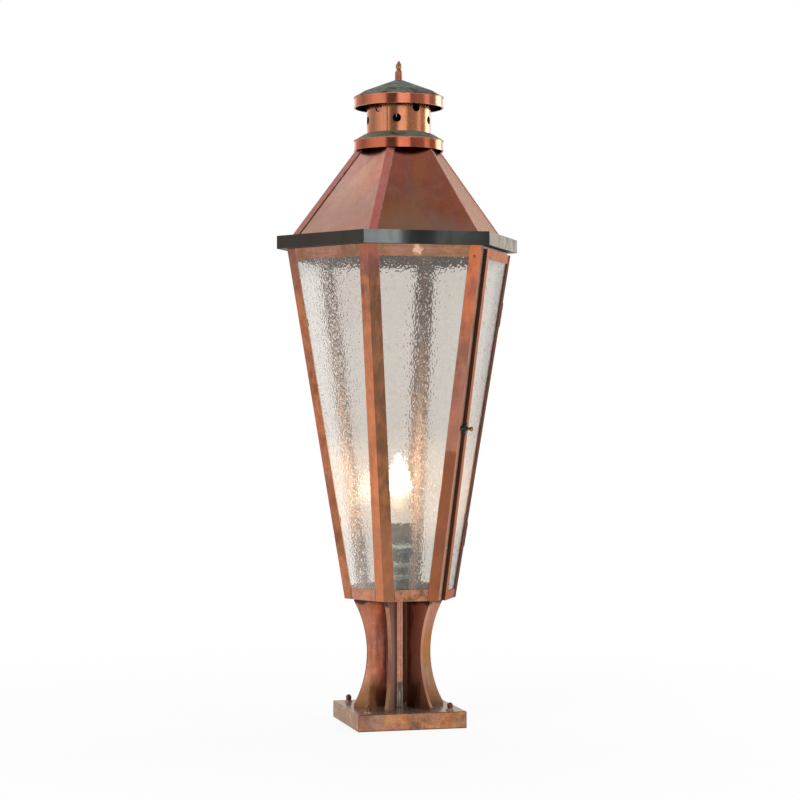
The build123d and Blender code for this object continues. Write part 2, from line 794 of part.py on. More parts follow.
# Lamp
def socket_cup():
    low = CUP_Z
    high = SOCKET_Z
    profile = [
        (CUP_BORE_RADIUS, low),
        (CUP_FLANGE_RADIUS, low),
        (CUP_FLANGE_RADIUS, low + CUP_FLANGE),
        (CUP_STEM_RADIUS, low + CUP_SHOULDER),
    ]
    for share in CUP_RIDGE_SHARES:
        z = low + share * CUP_HEIGHT
        profile.append((CUP_STEM_RADIUS, z - CUP_RIDGE_RISE))
        profile.append((CUP_RIDGE_RADIUS, z - CUP_RIDGE_RISE / 3))
        profile.append((CUP_RIDGE_RADIUS, z + CUP_RIDGE_RISE / 3))
        profile.append((CUP_STEM_RADIUS, z + CUP_RIDGE_RISE))
    profile.append((CUP_TOP_RADIUS, high - CUP_RIM))
    profile.append((CUP_TOP_RADIUS, high))
    profile.append((TUBE_RADIUS + SEAM, high))
    profile.append((TUBE_RADIUS + SEAM, high - CUP_ROOF))
    profile.append((CUP_BORE_RADIUS, high - CUP_ROOF))
    return turned(profile)


def socket_body():
    bore = SHELL_RADIUS + SEAM
    body = disc(SOCKET_RADIUS, SOCKET_Z, COLLAR_Z)
    body -= disc(bore, SOCKET_Z + SOCKET_FLOOR, COLLAR_Z + 1)
    return body - disc(TUBE_RADIUS + SEAM, SOCKET_Z - 1, SOCKET_Z + SOCKET_FLOOR + 1)


def socket_collar():
    ring = pipe(SOCKET_RADIUS, SHELL_RADIUS + SEAM, COLLAR_Z, BULB_Z)
    return fillet(ring.edges().filter_by(GeomType.CIRCLE).group_by(Axis.Z)[-1], 1.0)


def socket_shell():
    low = SOCKET_Z + SOCKET_FLOOR
    shell = pipe(SHELL_RADIUS, SHELL_RADIUS - SHELL_WALL, low, BULB_Z - 2)
    return shell + pipe(SHELL_RADIUS, TUBE_RADIUS + SEAM, low, low + SHELL_WALL)


def bulb_base():
    low = BULB_BASE_Z
    taper = BULB_BASE_RADIUS * 0.4
    root = BULB_BASE_RADIUS - THREAD_DEPTH
    neck = BULB_NECK_RADIUS - BULB_WALL - SEAM
    profile = [(0, low), (taper, low), (root, low + BULB_BASE_TIP)]
    pitch = (BULB_BASE_HEIGHT - BULB_BASE_TIP - BULB_BASE_SKIRT) / THREAD_TURNS
    for count in range(THREAD_TURNS):
        z = low + BULB_BASE_TIP + pitch * count
        profile.append((BULB_BASE_RADIUS, z + pitch * 0.5))
        profile.append((root, z + pitch))
    profile.append((root, BULB_Z))
    profile.append((neck, BULB_Z))
    profile.append((neck, BULB_Z - 1))
    profile.append((0, BULB_Z - 1))
    return turned(profile)


def candle(radius, neck, low, high, tip):
    """Flame-shaped (radius, height) edge from a neck to a tip on the axis."""
    tall = high - low
    return Spline(
        (neck, low),
        (radius * 0.94, low + tall * 0.26),
        (radius, low + tall * 0.42),
        (radius * 0.78, low + tall * 0.66),
        (radius * 0.4, low + tall * 0.88),
        (tip, high),
        tangents=((0.25, 1), (-0.6, 1)),
    )


def bulb_glass():
    high = BULB_Z + BULB_HEIGHT
    inner_high = high - 2 * BULB_WALL
    tip = 2.0
    outer = candle(BULB_RADIUS, BULB_NECK_RADIUS, BULB_Z, high, tip)
    inner = candle(BULB_RADIUS - BULB_WALL, BULB_NECK_RADIUS - BULB_WALL, BULB_Z, inner_high, tip * 0.6)
    outline = [
        outer,
        Line((tip, high), (0, high)),
        Line((0, high), (0, inner_high)),
        Line((0, inner_high), (tip * 0.6, inner_high)),
        inner,
        Line((BULB_NECK_RADIUS - BULB_WALL, BULB_Z), (BULB_NECK_RADIUS, BULB_Z)),
    ]
    return revolve(Plane.XZ * Face(Wire(outline)), Axis.Z)


def bulb_filament():
    low = BULB_Z - 1
    stem_top = low + STEM_HEIGHT
    lamp = disc(STEM_RADIUS, low, stem_top)
    lamp += disc(FILAMENT_RADIUS, stem_top, stem_top + FILAMENT_HEIGHT)
    return lamp


nodes = {
    "mounting_plate": mounting_plate(),
    "base_studs": at_studs(disc(STUD_RADIUS, PLATE_THICK, BASE_TOP + BALL_RISE)),
    "base_box": base_box(),
    "stud_washers": at_studs(pipe(WASHER_RADIUS, STUD_RADIUS + BOLT_GAP, BASE_TOP, BASE_TOP + WASHER_THICK)),
    "ball_nuts": at_studs(ball_nut()),
    "tube": tube(),
    "tube_locknuts": locknuts(),
    "lead_wires": leads(),
    "floor_pan": floor_pan(),
    "bottom_rails": bottom_rails(),
    "top_rails": top_rails(),
    "pane_clips": pane_clips(),
    "door_frame": door_frame(),
    "door_pane": door_pane(),
    "door_clips": door_clips(),
    "door_hinge_leaves": door_leaves(),
    "post_hinge_leaves": post_leaves(),
    "hinge_pins": hinge_pins(),
    "door_knob": door_knob(),
    "turn_button": turn_button(),
    "button_rivet": button_rivet(),
    "eave_band": eave_band(),
    "hip_strips": hip_strips(),
    "lower_cap": lower_cap(),
    "chimney": chimney(),
    "upper_cap": upper_cap(),
    "chimney_bridge": chimney_bridge(),
    "cap_rod": cap_rod(),
    "rod_nuts": rod_nuts(),
    "finial": finial(),
    "socket_cup": socket_cup(),
    "socket_body": socket_body(),
    "socket_collar": socket_collar(),
    "socket_shell": socket_shell(),
    "bulb_base": bulb_base(),
    "bulb_glass": bulb_glass(),
    "bulb_filament": bulb_filament(),
}
for index in range(6):
    nodes[f"fin_{index}"] = fin(index)
    nodes[f"corner_post_{index}"] = corner_post(index)
    nodes[f"roof_panel_{index}"] = roof_panel(index)
    if index != DOOR_INDEX:
        nodes[f"pane_{index}"] = pane(index)

os.makedirs("parts", exist_ok=True)
for name, made in nodes.items():
    shape = Compound(children=made) if isinstance(made, list) else made
    export_step(shape, f"parts/{name}.step")
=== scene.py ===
# %% [markdown]
# # A copper pier lantern
# This lesson dresses a six-sided copper lantern that stands on the cap of a garden pier. The
# metal parts, the panes and the bulb come from a packed CAD model, which stays exactly where it
# is. Blender adds what a drawing can't give: old copper, rippled glass, solder, rivets and light.

# %% Load the lantern
import math

import bmesh
import bpy
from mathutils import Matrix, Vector


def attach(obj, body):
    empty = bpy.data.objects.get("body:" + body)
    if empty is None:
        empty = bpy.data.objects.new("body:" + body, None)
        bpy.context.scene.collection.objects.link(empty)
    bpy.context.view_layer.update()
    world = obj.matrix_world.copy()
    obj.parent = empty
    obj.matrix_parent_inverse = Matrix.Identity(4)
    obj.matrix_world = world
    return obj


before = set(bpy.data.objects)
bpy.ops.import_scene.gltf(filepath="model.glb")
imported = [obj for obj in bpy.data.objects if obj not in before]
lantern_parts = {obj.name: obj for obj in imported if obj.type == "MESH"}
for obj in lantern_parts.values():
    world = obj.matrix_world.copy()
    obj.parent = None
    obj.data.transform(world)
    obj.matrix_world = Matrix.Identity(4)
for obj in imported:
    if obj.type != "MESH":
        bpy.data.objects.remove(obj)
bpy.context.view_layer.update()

# %% [markdown]
# ## The camera
# The photograph looks at the lantern a little from its left, with the lens level and about
# halfway up. A long lens from far off keeps the sides nearly parallel. The angle, distance and
# height were found by matching the corners of the base, the eave and the rims with the picture.

# %% Camera
VIEW_ANGLE = math.radians(-14.67)
VIEW_DISTANCE = 2.678
VIEW_HEIGHT = 0.3994
VIEW_LENS = 97.2
VIEW_SENSOR = 36
VIEW_SIDESTEP = 0.0016

towards_camera = Vector((math.sin(VIEW_ANGLE), -math.cos(VIEW_ANGLE), 0))
camera_right = Vector((math.cos(VIEW_ANGLE), math.sin(VIEW_ANGLE), 0))
camera = bpy.data.objects.new("photo_camera", bpy.data.cameras.new("photo_camera"))
bpy.context.scene.collection.objects.link(camera)
camera.data.lens = VIEW_LENS
camera.data.sensor_width = VIEW_SENSOR
camera.location = towards_camera * VIEW_DISTANCE + camera_right * VIEW_SIDESTEP
camera.location.z = VIEW_HEIGHT
camera.rotation_euler = (math.radians(90), 0, VIEW_ANGLE)
bpy.context.scene.camera = camera
bpy.context.scene.view_settings.view_transform = "Standard"
print("camera at", [round(c, 3) for c in camera.location])

# %% [markdown]
# ## A short way to write nodes
# Materials, the studio and the node groups below are all node trees. They could be wired by hand,
# one socket at a time. Small helpers let them read from top to bottom like a list of steps. A wire
# is the output of a node, and plus, minus and times between wires add Math nodes.


# %% Sums of wires
class Sums:
    """The output of a node. Each step adds a node to the same tree and returns its output."""

    def __init__(self, recipe, socket):
        self.recipe = recipe
        self.socket = socket

    def sums(self, operation, other=0.0, clamp=False):
        feeds = {0: self, 1: other}
        return self.recipe.wire("ShaderNodeMath", feeds, operation=operation, use_clamp=clamp)

    def __add__(self, other):
        return self.sums("ADD", other)

    def __sub__(self, other):
        return self.sums("SUBTRACT", other)

    def __rsub__(self, other):
        return self.recipe.wire("ShaderNodeMath", {0: other, 1: self}, operation="SUBTRACT")

    def __mul__(self, other):
        return self.sums("MULTIPLY", other)

    def __or__(self, other):
        return self.sums("MAXIMUM", other)

    def __abs__(self):
        return self.sums("ABSOLUTE")

    def scaled(self, factor, offset):
        feeds = {0: self, 1: factor, 2: offset}
        return self.recipe.wire("ShaderNodeMath", feeds, operation="MULTIPLY_ADD")

    def vector(self, operation, other=(0, 0, 0), key="Value"):
        feeds = {0: self, 1: other}
        return self.recipe.wire("ShaderNodeVectorMath", feeds, key, operation=operation)

    def dot(self, way):
        return self.vector("DOT_PRODUCT", way)

    def stretched(self, scale):
        return self.vector("MULTIPLY", scale, "Vector")

    def along(self, axis):
        return self.recipe.wire("ShaderNodeSeparateXYZ", {0: self}, axis)


print("sums", [name for name in vars(Sums) if not name.startswith("_")])

# %% [markdown]
# The other steps of a wire make patterns and colours of it. A stain on old metal is a tone mixed in
# where some value, such as the height or a noise, passes a soft step, and the painted light and
# shade below are mixed in the same way, so that has a short form.


# %% Patterns and colours of wires
class Wire(Sums):
    """A wire with the steps that make patterns and colours."""

    def noise(self, scale, detail=4.0, rough=0.55, bend=0.0):
        feeds = {"Vector": self, "Scale": scale, "Detail": detail, "Roughness": rough}
        return self.recipe.wire("ShaderNodeTexNoise", feeds | {"Distortion": bend})

    def spread(self, low, high, start=0.0, end=1.0):
        """Soft step from one span of values to another."""
        feeds = {"Value": self, "From Min": low, "From Max": high, "To Min": start, "To Max": end}
        return self.recipe.wire("ShaderNodeMapRange", feeds, interpolation_type="SMOOTHSTEP")

    def grey(self):
        return self.recipe.wire("ShaderNodeCombineColor", {0: self, 1: self, 2: self})

    def ramp(self, *stops):
        """Colour ramp from pairs of a position and a grey level or colour."""
        made = self.recipe.add("ShaderNodeValToRGB", {0: self})
        elements = made.color_ramp.elements
        while len(elements) < len(stops):
            elements.new(1.0)
        for element, (position, tone) in zip(elements, stops):
            element.position = position
            element.color = (*(tone if isinstance(tone, tuple) else (tone,) * 3), 1)
        return Wire(self.recipe, made.outputs[0])

    def mix(self, first, second):
        """This wire is a mask: the first colour where it is nought, the second where it is one."""
        return self.recipe.mixed(self, first, second)

    def stain(self, colour, *steps):
        """Mixes tones into a colour, each by a soft step of this wire: from, to, share, tone."""
        for low, high, share, tone in steps:
            colour = self.spread(low, high, 0.0, share).mix(colour, tone)
        return colour

    def tinted(self, other):
        return self.recipe.mixed(1.0, self, other, "MULTIPLY")


print("patterns", [name for name in vars(Wire) if not name.startswith("_")])

# %% [markdown]
# A recipe belongs to one tree. It adds a node, sets its options, and feeds its inputs with plain
# values or with wires. It also starts a wire: from a place, a mixed colour, a bump, or the way
# that the surface faces.


# %% Recipes
def emptied(owner):
    """The node tree of a world or a material, without its first nodes."""
    owner.use_nodes = True
    owner.node_tree.nodes.clear()
    return owner.node_tree


class Recipe:
    """Adds nodes to one tree."""

    def __init__(self, tree):
        self.tree = tree

    def add(self, kind, feeds=None, **options):
        made = self.tree.nodes.new(kind)
        for name, value in options.items():
            setattr(made, name, value)
        for key, value in (feeds or {}).items():
            self.feed(made.inputs[key], value)
        return made

    def feed(self, socket, value):
        if isinstance(value, Wire):
            self.tree.links.new(value.socket, socket)
        elif socket.type == "RGBA":
            socket.default_value = (*value[:3], 1)
        else:
            socket.default_value = value

    def wire(self, kind, feeds=None, key=0, **options):
        """One output of a new node."""
        return Wire(self, self.add(kind, feeds, **options).outputs[key])

    def wires(self, kind, feeds=None, **options):
        """All outputs of a new node, by name."""
        return {out.name: Wire(self, out) for out in self.add(kind, feeds, **options).outputs}

    def group(self, other, **feeds):
        return self.wires("ShaderNodeGroup", feeds, node_tree=other.tree)

    def place(self):
        return self.wire("ShaderNodeTexCoord", key="Object")

    def mixed(self, share, first, second, blend="MIX"):
        feeds = {0: share, 6: first, 7: second}
        return self.wire("ShaderNodeMix", feeds, 2, data_type="RGBA", blend_type=blend)

    def bump(self, height, strength, distance):
        feeds = {"Strength": strength, "Distance": distance, "Height": height}
        return self.wire("ShaderNodeBump", feeds)

    def facing(self, direction):
        """How far the surface faces a direction of the lantern's own frame, from -1 to 1."""
        normal = self.wire("ShaderNodeNewGeometry", key="Normal")
        spaces = {"vector_type": "NORMAL", "convert_from": "WORLD", "convert_to": "OBJECT"}
        return self.wire("ShaderNodeVectorTransform", {0: normal}, **spaces).dot(direction)

    def faces(self, direction, share=1.0, low=0.8, high=0.95):
        """A mask of the surfaces that look squarely in a direction."""
        return self.facing(direction).spread(low, high, 0.0, share)


print("recipe steps", [name for name in vars(Recipe) if not name.startswith("_")])

# %% [markdown]
# ## The studio
# Polished copper has hardly any colour of its own until something is mirrored in it, so the
# studio matters as much as the metal. The world is white where the camera looks, and metal sees
# white too behind the lantern. In front, the rims of the photograph mirror dark gaps and light
# boxes side by side, so the world has those as a ring of tones around the lantern.

# %% Light boxes in the world
# Angle in degrees to the right of the camera, as seen from the lantern, and the tone there.
RING_OF_TONES = [
    (-180, 1.0), (-152, 1.0), (-140, 0.55), (-104, 0.32), (-86, 0.5), (-62, 0.74), (-36, 0.72),
    (-30, 0.1), (-5, 0.1), (0, 1.0), (28, 0.9), (34, 0.18), (46, 0.28), (68, 0.3), (73, 0.75),
    (84, 0.75), (89, 0.28), (109, 0.28), (114, 1.0), (180, 1.0),
]
# A ramp is stored in 256 steps, too coarse for what the flat front of the eave band mirrors, so
# that narrow part of the ring is made of soft steps: angles from and to, tones from and to.
LIGHT_BOX = (28.2, 29.3, 0.76, 0.98)
BOX_END = (29.36, 29.44)
DARK_GAP = (30.22, 30.42, 0.1, 0.29)
GAP_FADE = (30.9, 31.7, 1.0, 0.45)
BAND_VIEW_START, BAND_VIEW_END = (27.4, 28.0), (33.6, 32.6)
CEILING_FROM, CEILING_TO = 0.36, 0.66
CEILING_TONES = (0.36, 1.05)
CEILING_LIGHT_SPAN = (0.6, 0.9)
CEILING_LIGHT_TURN = math.radians(-120)
CEILING_LIGHT_TILT = math.radians(43)
DIFFUSE_LEVEL = 0.5
WHITE = (1, 1, 1)


def right_of_camera(angle):
    """Level direction from the lantern, by its angle to the right of the camera."""
    return camera_right * math.sin(angle) + towards_camera * math.cos(angle)


def any_of(rays, *names):
    """One if a ray is of any of these kinds."""
    total = rays[names[0]]
    for name in names[1:]:
        total = total | rays[name]
    return total


world = bpy.data.worlds.new("studio")
bpy.context.scene.world = world
studio = Recipe(emptied(world))
heading = studio.wire("ShaderNodeTexCoord", key="Generated")
turn = heading.dot(camera_right).sums("ARCTAN2", heading.dot(towards_camera))
ring_stops = [(angle / 360 + 0.5, tone) for angle, tone in RING_OF_TONES]
ring = turn.scaled(1 / (2 * math.pi), 0.5).ramp(*ring_stops)


def step_at(first, last, *tones):
    return turn.spread(math.radians(first), math.radians(last), *tones)


past_box = step_at(*DARK_GAP) * step_at(*GAP_FADE)
narrow = step_at(*BOX_END).mix(step_at(*LIGHT_BOX).grey(), past_box.grey())
ring = (step_at(*BAND_VIEW_START) * step_at(*BAND_VIEW_END)).mix(ring, narrow)
ceiling_light = right_of_camera(CEILING_LIGHT_TURN) * math.cos(CEILING_LIGHT_TILT)
ceiling_light.z = math.sin(CEILING_LIGHT_TILT)
ceiling = heading.dot(ceiling_light).spread(*CEILING_LIGHT_SPAN, *CEILING_TONES)
mirrored = heading.along("Z").spread(CEILING_FROM, CEILING_TO).mix(ring, ceiling)
rays = studio.wires("ShaderNodeLightPath")
level = rays["Is Glossy Ray"].mix((DIFFUSE_LEVEL,) * 3, mirrored)
level = any_of(rays, "Is Camera Ray", "Is Transmission Ray").mix(level, WHITE)
backdrop = studio.wire("ShaderNodeBackground", {"Color": level, "Strength": 1.0})
studio.add("ShaderNodeOutputWorld", {"Surface": backdrop})
print("tones around the lantern", len(RING_OF_TONES))

# %% [markdown]
# The floor is a pale sheet. Near the lantern it takes a soft shadow, and further away it fades
# into the white of the world, as a paper sweep does, so no horizon shows behind the glass.

# %% Floor
FLOOR_SIZE = 30.0
FLOOR_CUTS = 4
SHADOW_SHARE = 0.12
SHADOW_SPAN = (0.2, 1.1)

bpy.ops.mesh.primitive_grid_add(
    x_subdivisions=FLOOR_CUTS, y_subdivisions=FLOOR_CUTS, size=FLOOR_SIZE, location=(0, 0, 0)
)
floor = bpy.context.object
floor.name = "pale_floor"
floor_paint = bpy.data.materials.new("pale_floor")
sweep = Recipe(emptied(floor_paint))
spot = sweep.place()
fade = spot.vector("LENGTH").spread(*SHADOW_SPAN, 1 - SHADOW_SHARE, 1.0)
paper = spot.noise(3).ramp((0.3, 0.86), (0.7, 0.9))
matt = sweep.wire("ShaderNodeBsdfDiffuse", {"Color": paper})
shine = sweep.wire("ShaderNodeEmission", {"Color": WHITE, "Strength": 1.0})
rays = sweep.wires("ShaderNodeLightPath")
seen = any_of(rays, "Is Camera Ray", "Is Glossy Ray", "Is Transmission Ray")
blend = sweep.wire("ShaderNodeMixShader", {0: seen * fade, 1: matt, 2: shine})
sweep.add("ShaderNodeOutputMaterial", {"Surface": blend})
floor.data.materials.append(floor_paint)
print("floor", FLOOR_SIZE, "m")

# %% [markdown]
# Three soft lamps model the form: a large one high on the left, a weaker one on the right and one
# above and behind. Metal does not mirror them, since the world's ring of tones stands for them. A
# fourth, at the right rear, is mirrored, and draws the white line down the right of the rims.

# %% Lamps
AIM_Z = 0.45
REAR_DISTANCE = 2.0
rear_spot = right_of_camera(math.radians(127)) * REAR_DISTANCE
# Where each lamp stands, its width and height, its power, and whether metal mirrors it.
LAMPS = {
    "left_softbox": ((-1.9, -1.5, 1.7), 1.5, 1.5, 24, False),
    "right_softbox": ((1.9, -1.2, 1.2), 1.2, 1.2, 9, False),
    "top_softbox": ((0.2, 0.9, 2.2), 1.4, 1.4, 14, False),
    "rear_softbox": ((rear_spot.x, rear_spot.y, 1.1), 0.94, 1.2, 11, True),
}
for name, (spot, wide, tall, power, in_metal) in LAMPS.items():
    lamp = bpy.data.lights.new(name, "AREA")
    lamp.shape = "RECTANGLE"
    lamp.size = wide
    lamp.size_y = tall
    lamp.energy = power
    holder = bpy.data.objects.new(name, lamp)
    bpy.context.scene.collection.objects.link(holder)
    holder.location = spot
    aim = Vector((-spot[0], -spot[1], 0 if in_metal else AIM_Z - spot[2]))
    holder.rotation_euler = aim.to_track_quat("-Z", "Y").to_euler()
    holder.visible_camera = False
    holder.visible_transmission = False
    holder.visible_glossy = in_metal
print("lamps", list(LAMPS))

# %% [markdown]
# ## Old copper
# New copper is pink and bright. Handled, heated and left outdoors it turns orange, brown and in
# places purple, in clouds a few centimetres across, with faint streaks where water ran down and
# small dark specks. One node group makes that story for every copper part. Each material gives
# it three colours, a cloud size and how polished the sheet is.

# %% Tarnish group
COLOUR, VALUE = "NodeSocketColor", "NodeSocketFloat"
SOCKETS = {"Color": COLOUR, "Geometry": "NodeSocketGeometry", "Paint": "NodeSocketMaterial"}


def new_group(name, takes, gives, kind="ShaderNodeTree"):
    """Empty node group with named inputs and outputs: its recipe and its inputs' wires."""
    tree = bpy.data.node_groups.new(name, kind)
    for label, value in takes.items():
        socket_kind = COLOUR if isinstance(value, tuple) else SOCKETS.get(label, VALUE)
        socket = tree.interface.new_socket(label, in_out="INPUT", socket_type=socket_kind)
        if value:
            socket.default_value = (*value, 1) if isinstance(value, tuple) else value
    for label in gives:
        tree.interface.new_socket(label, in_out="OUTPUT", socket_type=SOCKETS.get(label, VALUE))
    recipe = Recipe(tree)
    return recipe, recipe.wires("NodeGroupInput")


TARNISH_INPUTS = {
    "Bright": (0.45, 0.18, 0.09), "Dull": (0.25, 0.11, 0.06), "Tint": (0.36, 0.16, 0.13),
    "Clouds": 18.0, "Tint Share": 0.6, "Heat": 0.3, "Streaks": 0.4, "Specks": 0.4, "Satin": 0.35,
}
tarnish, given = new_group("tarnish", TARNISH_INPUTS, ["Color", "Roughness", "Height"])
spot = tarnish.place()
size = given["Clouds"]
clouds = spot.noise(size, 5, 0.6, 0.5)
shifted = spot.vector("ADD", (3.1, 1.7, 5.3), "Vector")
bloom = shifted.noise(size * 0.8, 3, 0.5, 0.9)
patches = spot.noise(size * 6, 6, 0.62)
run_off = spot.stretched((1, 1, 0.07)).noise(size * 12, 4, 0.6)
grain = spot.noise(900, 3, 0.6)
age = clouds * 0.65 + patches * 0.35
tone = age.spread(0.38, 0.62).mix(given["Bright"], given["Dull"])
tone = (bloom.spread(0.46, 0.64) * given["Tint Share"]).mix(tone, given["Tint"])
warmth = shifted.stretched((1, 1, 0.22)).noise(size * 2.2, 3, 0.5, 0.7)
film = warmth.ramp(
    (0.36, (0.62, 0.34, 0.12)), (0.45, (0.6, 0.22, 0.08)), (0.51, (0.46, 0.13, 0.09)),
    (0.57, (0.36, 0.14, 0.17)), (0.64, (0.38, 0.29, 0.27)), (0.74, (0.5, 0.38, 0.28)),
)
tone = (patches.spread(0.3, 0.6, 0.5, 1.0) * given["Heat"]).mix(tone, film)
wet = run_off.spread(0.5, 0.75) * given["Streaks"]
tone = (wet * 0.62).mix(tone, (0.06, 0.03, 0.02))
speckle = spot.noise(420, 2, 0.5).spread(0.64, 0.74)
tone = (speckle * given["Specks"]).mix(tone, (0.07, 0.035, 0.025))
tone = tone.tinted(grain.spread(0.25, 0.75, 0.86, 1.14).grey())
dulling = patches.scaled(0.3, given["Satin"] - 0.15).sums("ADD", wet * 0.12, clamp=True)
surface = patches * 0.7 + grain * 0.3
tarnish.add("NodeGroupOutput", {"Color": tone, "Roughness": dulling, "Height": surface})
print("tarnish takes", list(TARNISH_INPUTS))

# %% [markdown]
# Hands and weather polish the folds first. The Bevel node rounds the normals near an edge, and
# where the rounded normal leaves the true one, that spot is on an edge. The group turns this into
# a mask, roughened by noise so that the bright line breaks up as real wear does.

# %% Edge wear group
wear, given = new_group("edge_wear", {"Reach": 0.0012}, ["Mask"])
rounded = wear.wire("ShaderNodeBevel", {"Radius": given["Reach"]}, samples=6)
sharpness = 1.0 - rounded.dot(wear.wire("ShaderNodeNewGeometry", key="Normal"))
broken = wear.place().noise(160, 4, 0.6).spread(0.35, 0.6, 0.25, 1.0)
wear.add("NodeGroupOutput", {"Mask": sharpness.spread(0.01, 0.12) * broken})
print("edge wear made")

# %% [markdown]
# Rain and salts grow a grey-green crust, verdigris, on the cones of the two caps and on the
# socket cup. The group gives its colour, where it lies and how it stands up.

# %% Verdigris group
CRUST_SOFTNESS = 0.09
CRUST_INPUTS = {"Cover": 0.6, "Clouds": 60.0}
crust, given = new_group("verdigris_crust", CRUST_INPUTS, ["Color", "Mask", "Height"])
spot = crust.place()
growth = spot.noise(given["Clouds"], 7, 0.65, 0.4)
lumps = spot.noise(given["Clouds"] * 7, 5, 0.6)
border = 0.92 - given["Cover"]
thickness = growth * 0.75 + lumps * 0.25
lie = thickness.spread(border - CRUST_SOFTNESS, border + CRUST_SOFTNESS)
salts = growth.ramp(
    (0.3, (0.075, 0.08, 0.065)), (0.45, (0.13, 0.15, 0.115)), (0.58, (0.15, 0.2, 0.165)),
    (0.75, (0.26, 0.3, 0.24)),
)
salts = lumps.stain(salts, (0.45, 0.7, 0.55, (0.07, 0.06, 0.045)))
crust.add("NodeGroupOutput", {"Color": salts, "Mask": lie, "Height": lumps * lie})
print("verdigris made")

# %% [markdown]
# ## Copper finishes
# A finish is the recipe of a material with one Principled shader. Each copper finish is the
# tarnish group with its own colours, plus worn edges. A part can add stains of its own before
# the colour reaches the shader.


# %% Finishes
class Finish(Recipe):
    """A material with one Principled shader, whose sockets are coated by name."""

    def __init__(self, name, **settings):
        self.paint = bpy.data.materials.new(name)
        super().__init__(emptied(self.paint))
        self.shader = self.add("ShaderNodeBsdfPrincipled")
        self.shine = Wire(self, self.shader.outputs[0])
        output = self.add("ShaderNodeOutputMaterial", {"Surface": self.shine})
        self.surface = output.inputs["Surface"]
        self.coat(**settings)

    def coat(self, **values):
        for label, value in values.items():
            self.feed(self.shader.inputs[label.replace("_", " ")], value)

    def tarnished(self, bright, dull, tint, clouds, satin, **more):
        """The outputs of the tarnish group with its values set."""
        feeds = {"Bright": bright, "Dull": dull, "Tint": tint, "Clouds": clouds, "Satin": satin}
        more = {label.replace("_", " ").title(): value for label, value in more.items()}
        return self.group(tarnish, **feeds, **more)

    def worn_edges(self, reach, share):
        return self.group(wear, Reach=reach)["Mask"] * share

    def apply(self, *parts):
        """Paints parts of the lantern and returns the material."""
        for part in parts:
            for slot in lantern_parts[part].material_slots:
                slot.material = self.paint
        return self.paint


print("finish steps", [name for name in vars(Finish) if not name.startswith("_")])

# %% [markdown]
# Stains depend on where a point is on the lantern: how high, how far from the axis, and which way
# it faces. A little noise on the height makes the border of a stain ragged.


# %% Places on the lantern
def level_of(finish):
    """Height above the ground of the point being shaded."""
    return finish.place().along("Z")


def from_axis(finish):
    """Distance from the lantern's upright axis."""
    return finish.place().stretched((1, 1, 0)).vector("LENGTH")


def outwards(finish):
    """How far the surface faces away from the upright axis, from -1 to 1."""
    flat = finish.place().stretched((1, 1, 0))
    return finish.facing(flat.vector("NORMALIZE", key="Vector"))


def wander(finish, scale, reach, stretch=(1.0, 1.0, 1.0)):
    """Noise around nought, in metres."""
    return finish.place().stretched(stretch).noise(scale, 5).scaled(2 * reach, -reach)


def ragged_level(finish, scale, reach):
    return level_of(finish) + wander(finish, scale, reach)


print("places ready")

# %% [markdown]
# One maker serves all the coppers, because a copied material for each part would mean the same
# change in a dozen places. It takes the three colours, the cloud size and the polish, and paints
# the parts.

# %% Copper maker
WORN_COPPER = (0.72, 0.33, 0.19)
WORN_REACH = 0.0010
CHALK_SHARE = 0.9


def copper(name, parts, *tones, edge=0.5, relief=0.00025, metal=1.0, stain=None, chalk=None,
           grazing=WHITE, **more):
    """Tarnished copper. stain(finish, colour) may change the colour before it is used, and
    chalk(finish) gives a mask and a colour for a dull coat, dusty or lamp-blackened, which in
    places also carries painted light and shade. grazing tints what the sheet mirrors when it is
    seen almost edge on."""
    finish = Finish(name, Metallic=metal, Specular_Tint=grazing, Specular_IOR_Level=0.0)
    old = finish.tarnished(*tones, **more)
    colour = stain(finish, old["Color"]) if stain else old["Color"]
    if chalk:
        mask, tone = chalk(finish)
        colour = (mask * CHALK_SHARE).mix(colour, tone)
        finish.coat(Metallic=mask.scaled(-CHALK_SHARE * metal, metal))
    finish.coat(
        Base_Color=finish.worn_edges(WORN_REACH, edge).mix(colour, WORN_COPPER),
        Roughness=old["Roughness"],
        Normal=finish.bump(old["Height"], 0.35, relief),
    )
    return finish.apply(*parts)


print("copper maker ready")

# %% [markdown]
# The corner posts are folded strips with a brown, half-matt skin. On the front left one, the leg in
# front is browned and painted darker as shade, and the leg on the left front is redder and painted
# lighter low down, as light. Both are one strip of copper, so one material tells them apart by the
# way that they face.

# %% Front left post
FRONT_OUT = Vector((0, -1, 0))
LEFT_FRONT_WAY = Vector((-0.866, -0.5, 0))
POST_TONES = ((0.64, 0.222, 0.102), (0.265, 0.102, 0.05), (0.46, 0.18, 0.105), 15.0, 0.38)


def browned_lit_and_shaded_legs(finish, colour):
    """Front leg brown in blotches and painted darker as shade, left leg painted lighter low down as
    light, and the torch left purple and orange at the top.
    """
    blotch = finish.place().stretched((1, 1, 0.35)).noise(110, 4, 0.6)
    # Painted shade: the front leg is made darker brown all over, with brown blotches on it.
    browned_and_shaded = finish.faces(FRONT_OUT) * blotch.spread(0.38, 0.62, 0.5, 0.88)
    colour = browned_and_shaded.mix(colour, (0.185, 0.096, 0.05))
    z = ragged_level(finish, 70, 0.02)
    # Painted light: the leg turned to the left front is made lighter orange low down.
    lit_leg = finish.faces(LEFT_FRONT_WAY, 0.42) * z.spread(0.54, 0.47)
    colour = lit_leg.mix(colour, (0.9, 0.32, 0.15))
    return z.stain(
        colour, (0.28, 0.22, 0.4, (0.52, 0.2, 0.095)), (0.545, 0.562, 0.5, (0.3, 0.105, 0.12)),
        (0.566, 0.582, 0.45, (0.62, 0.2, 0.1)),
    )


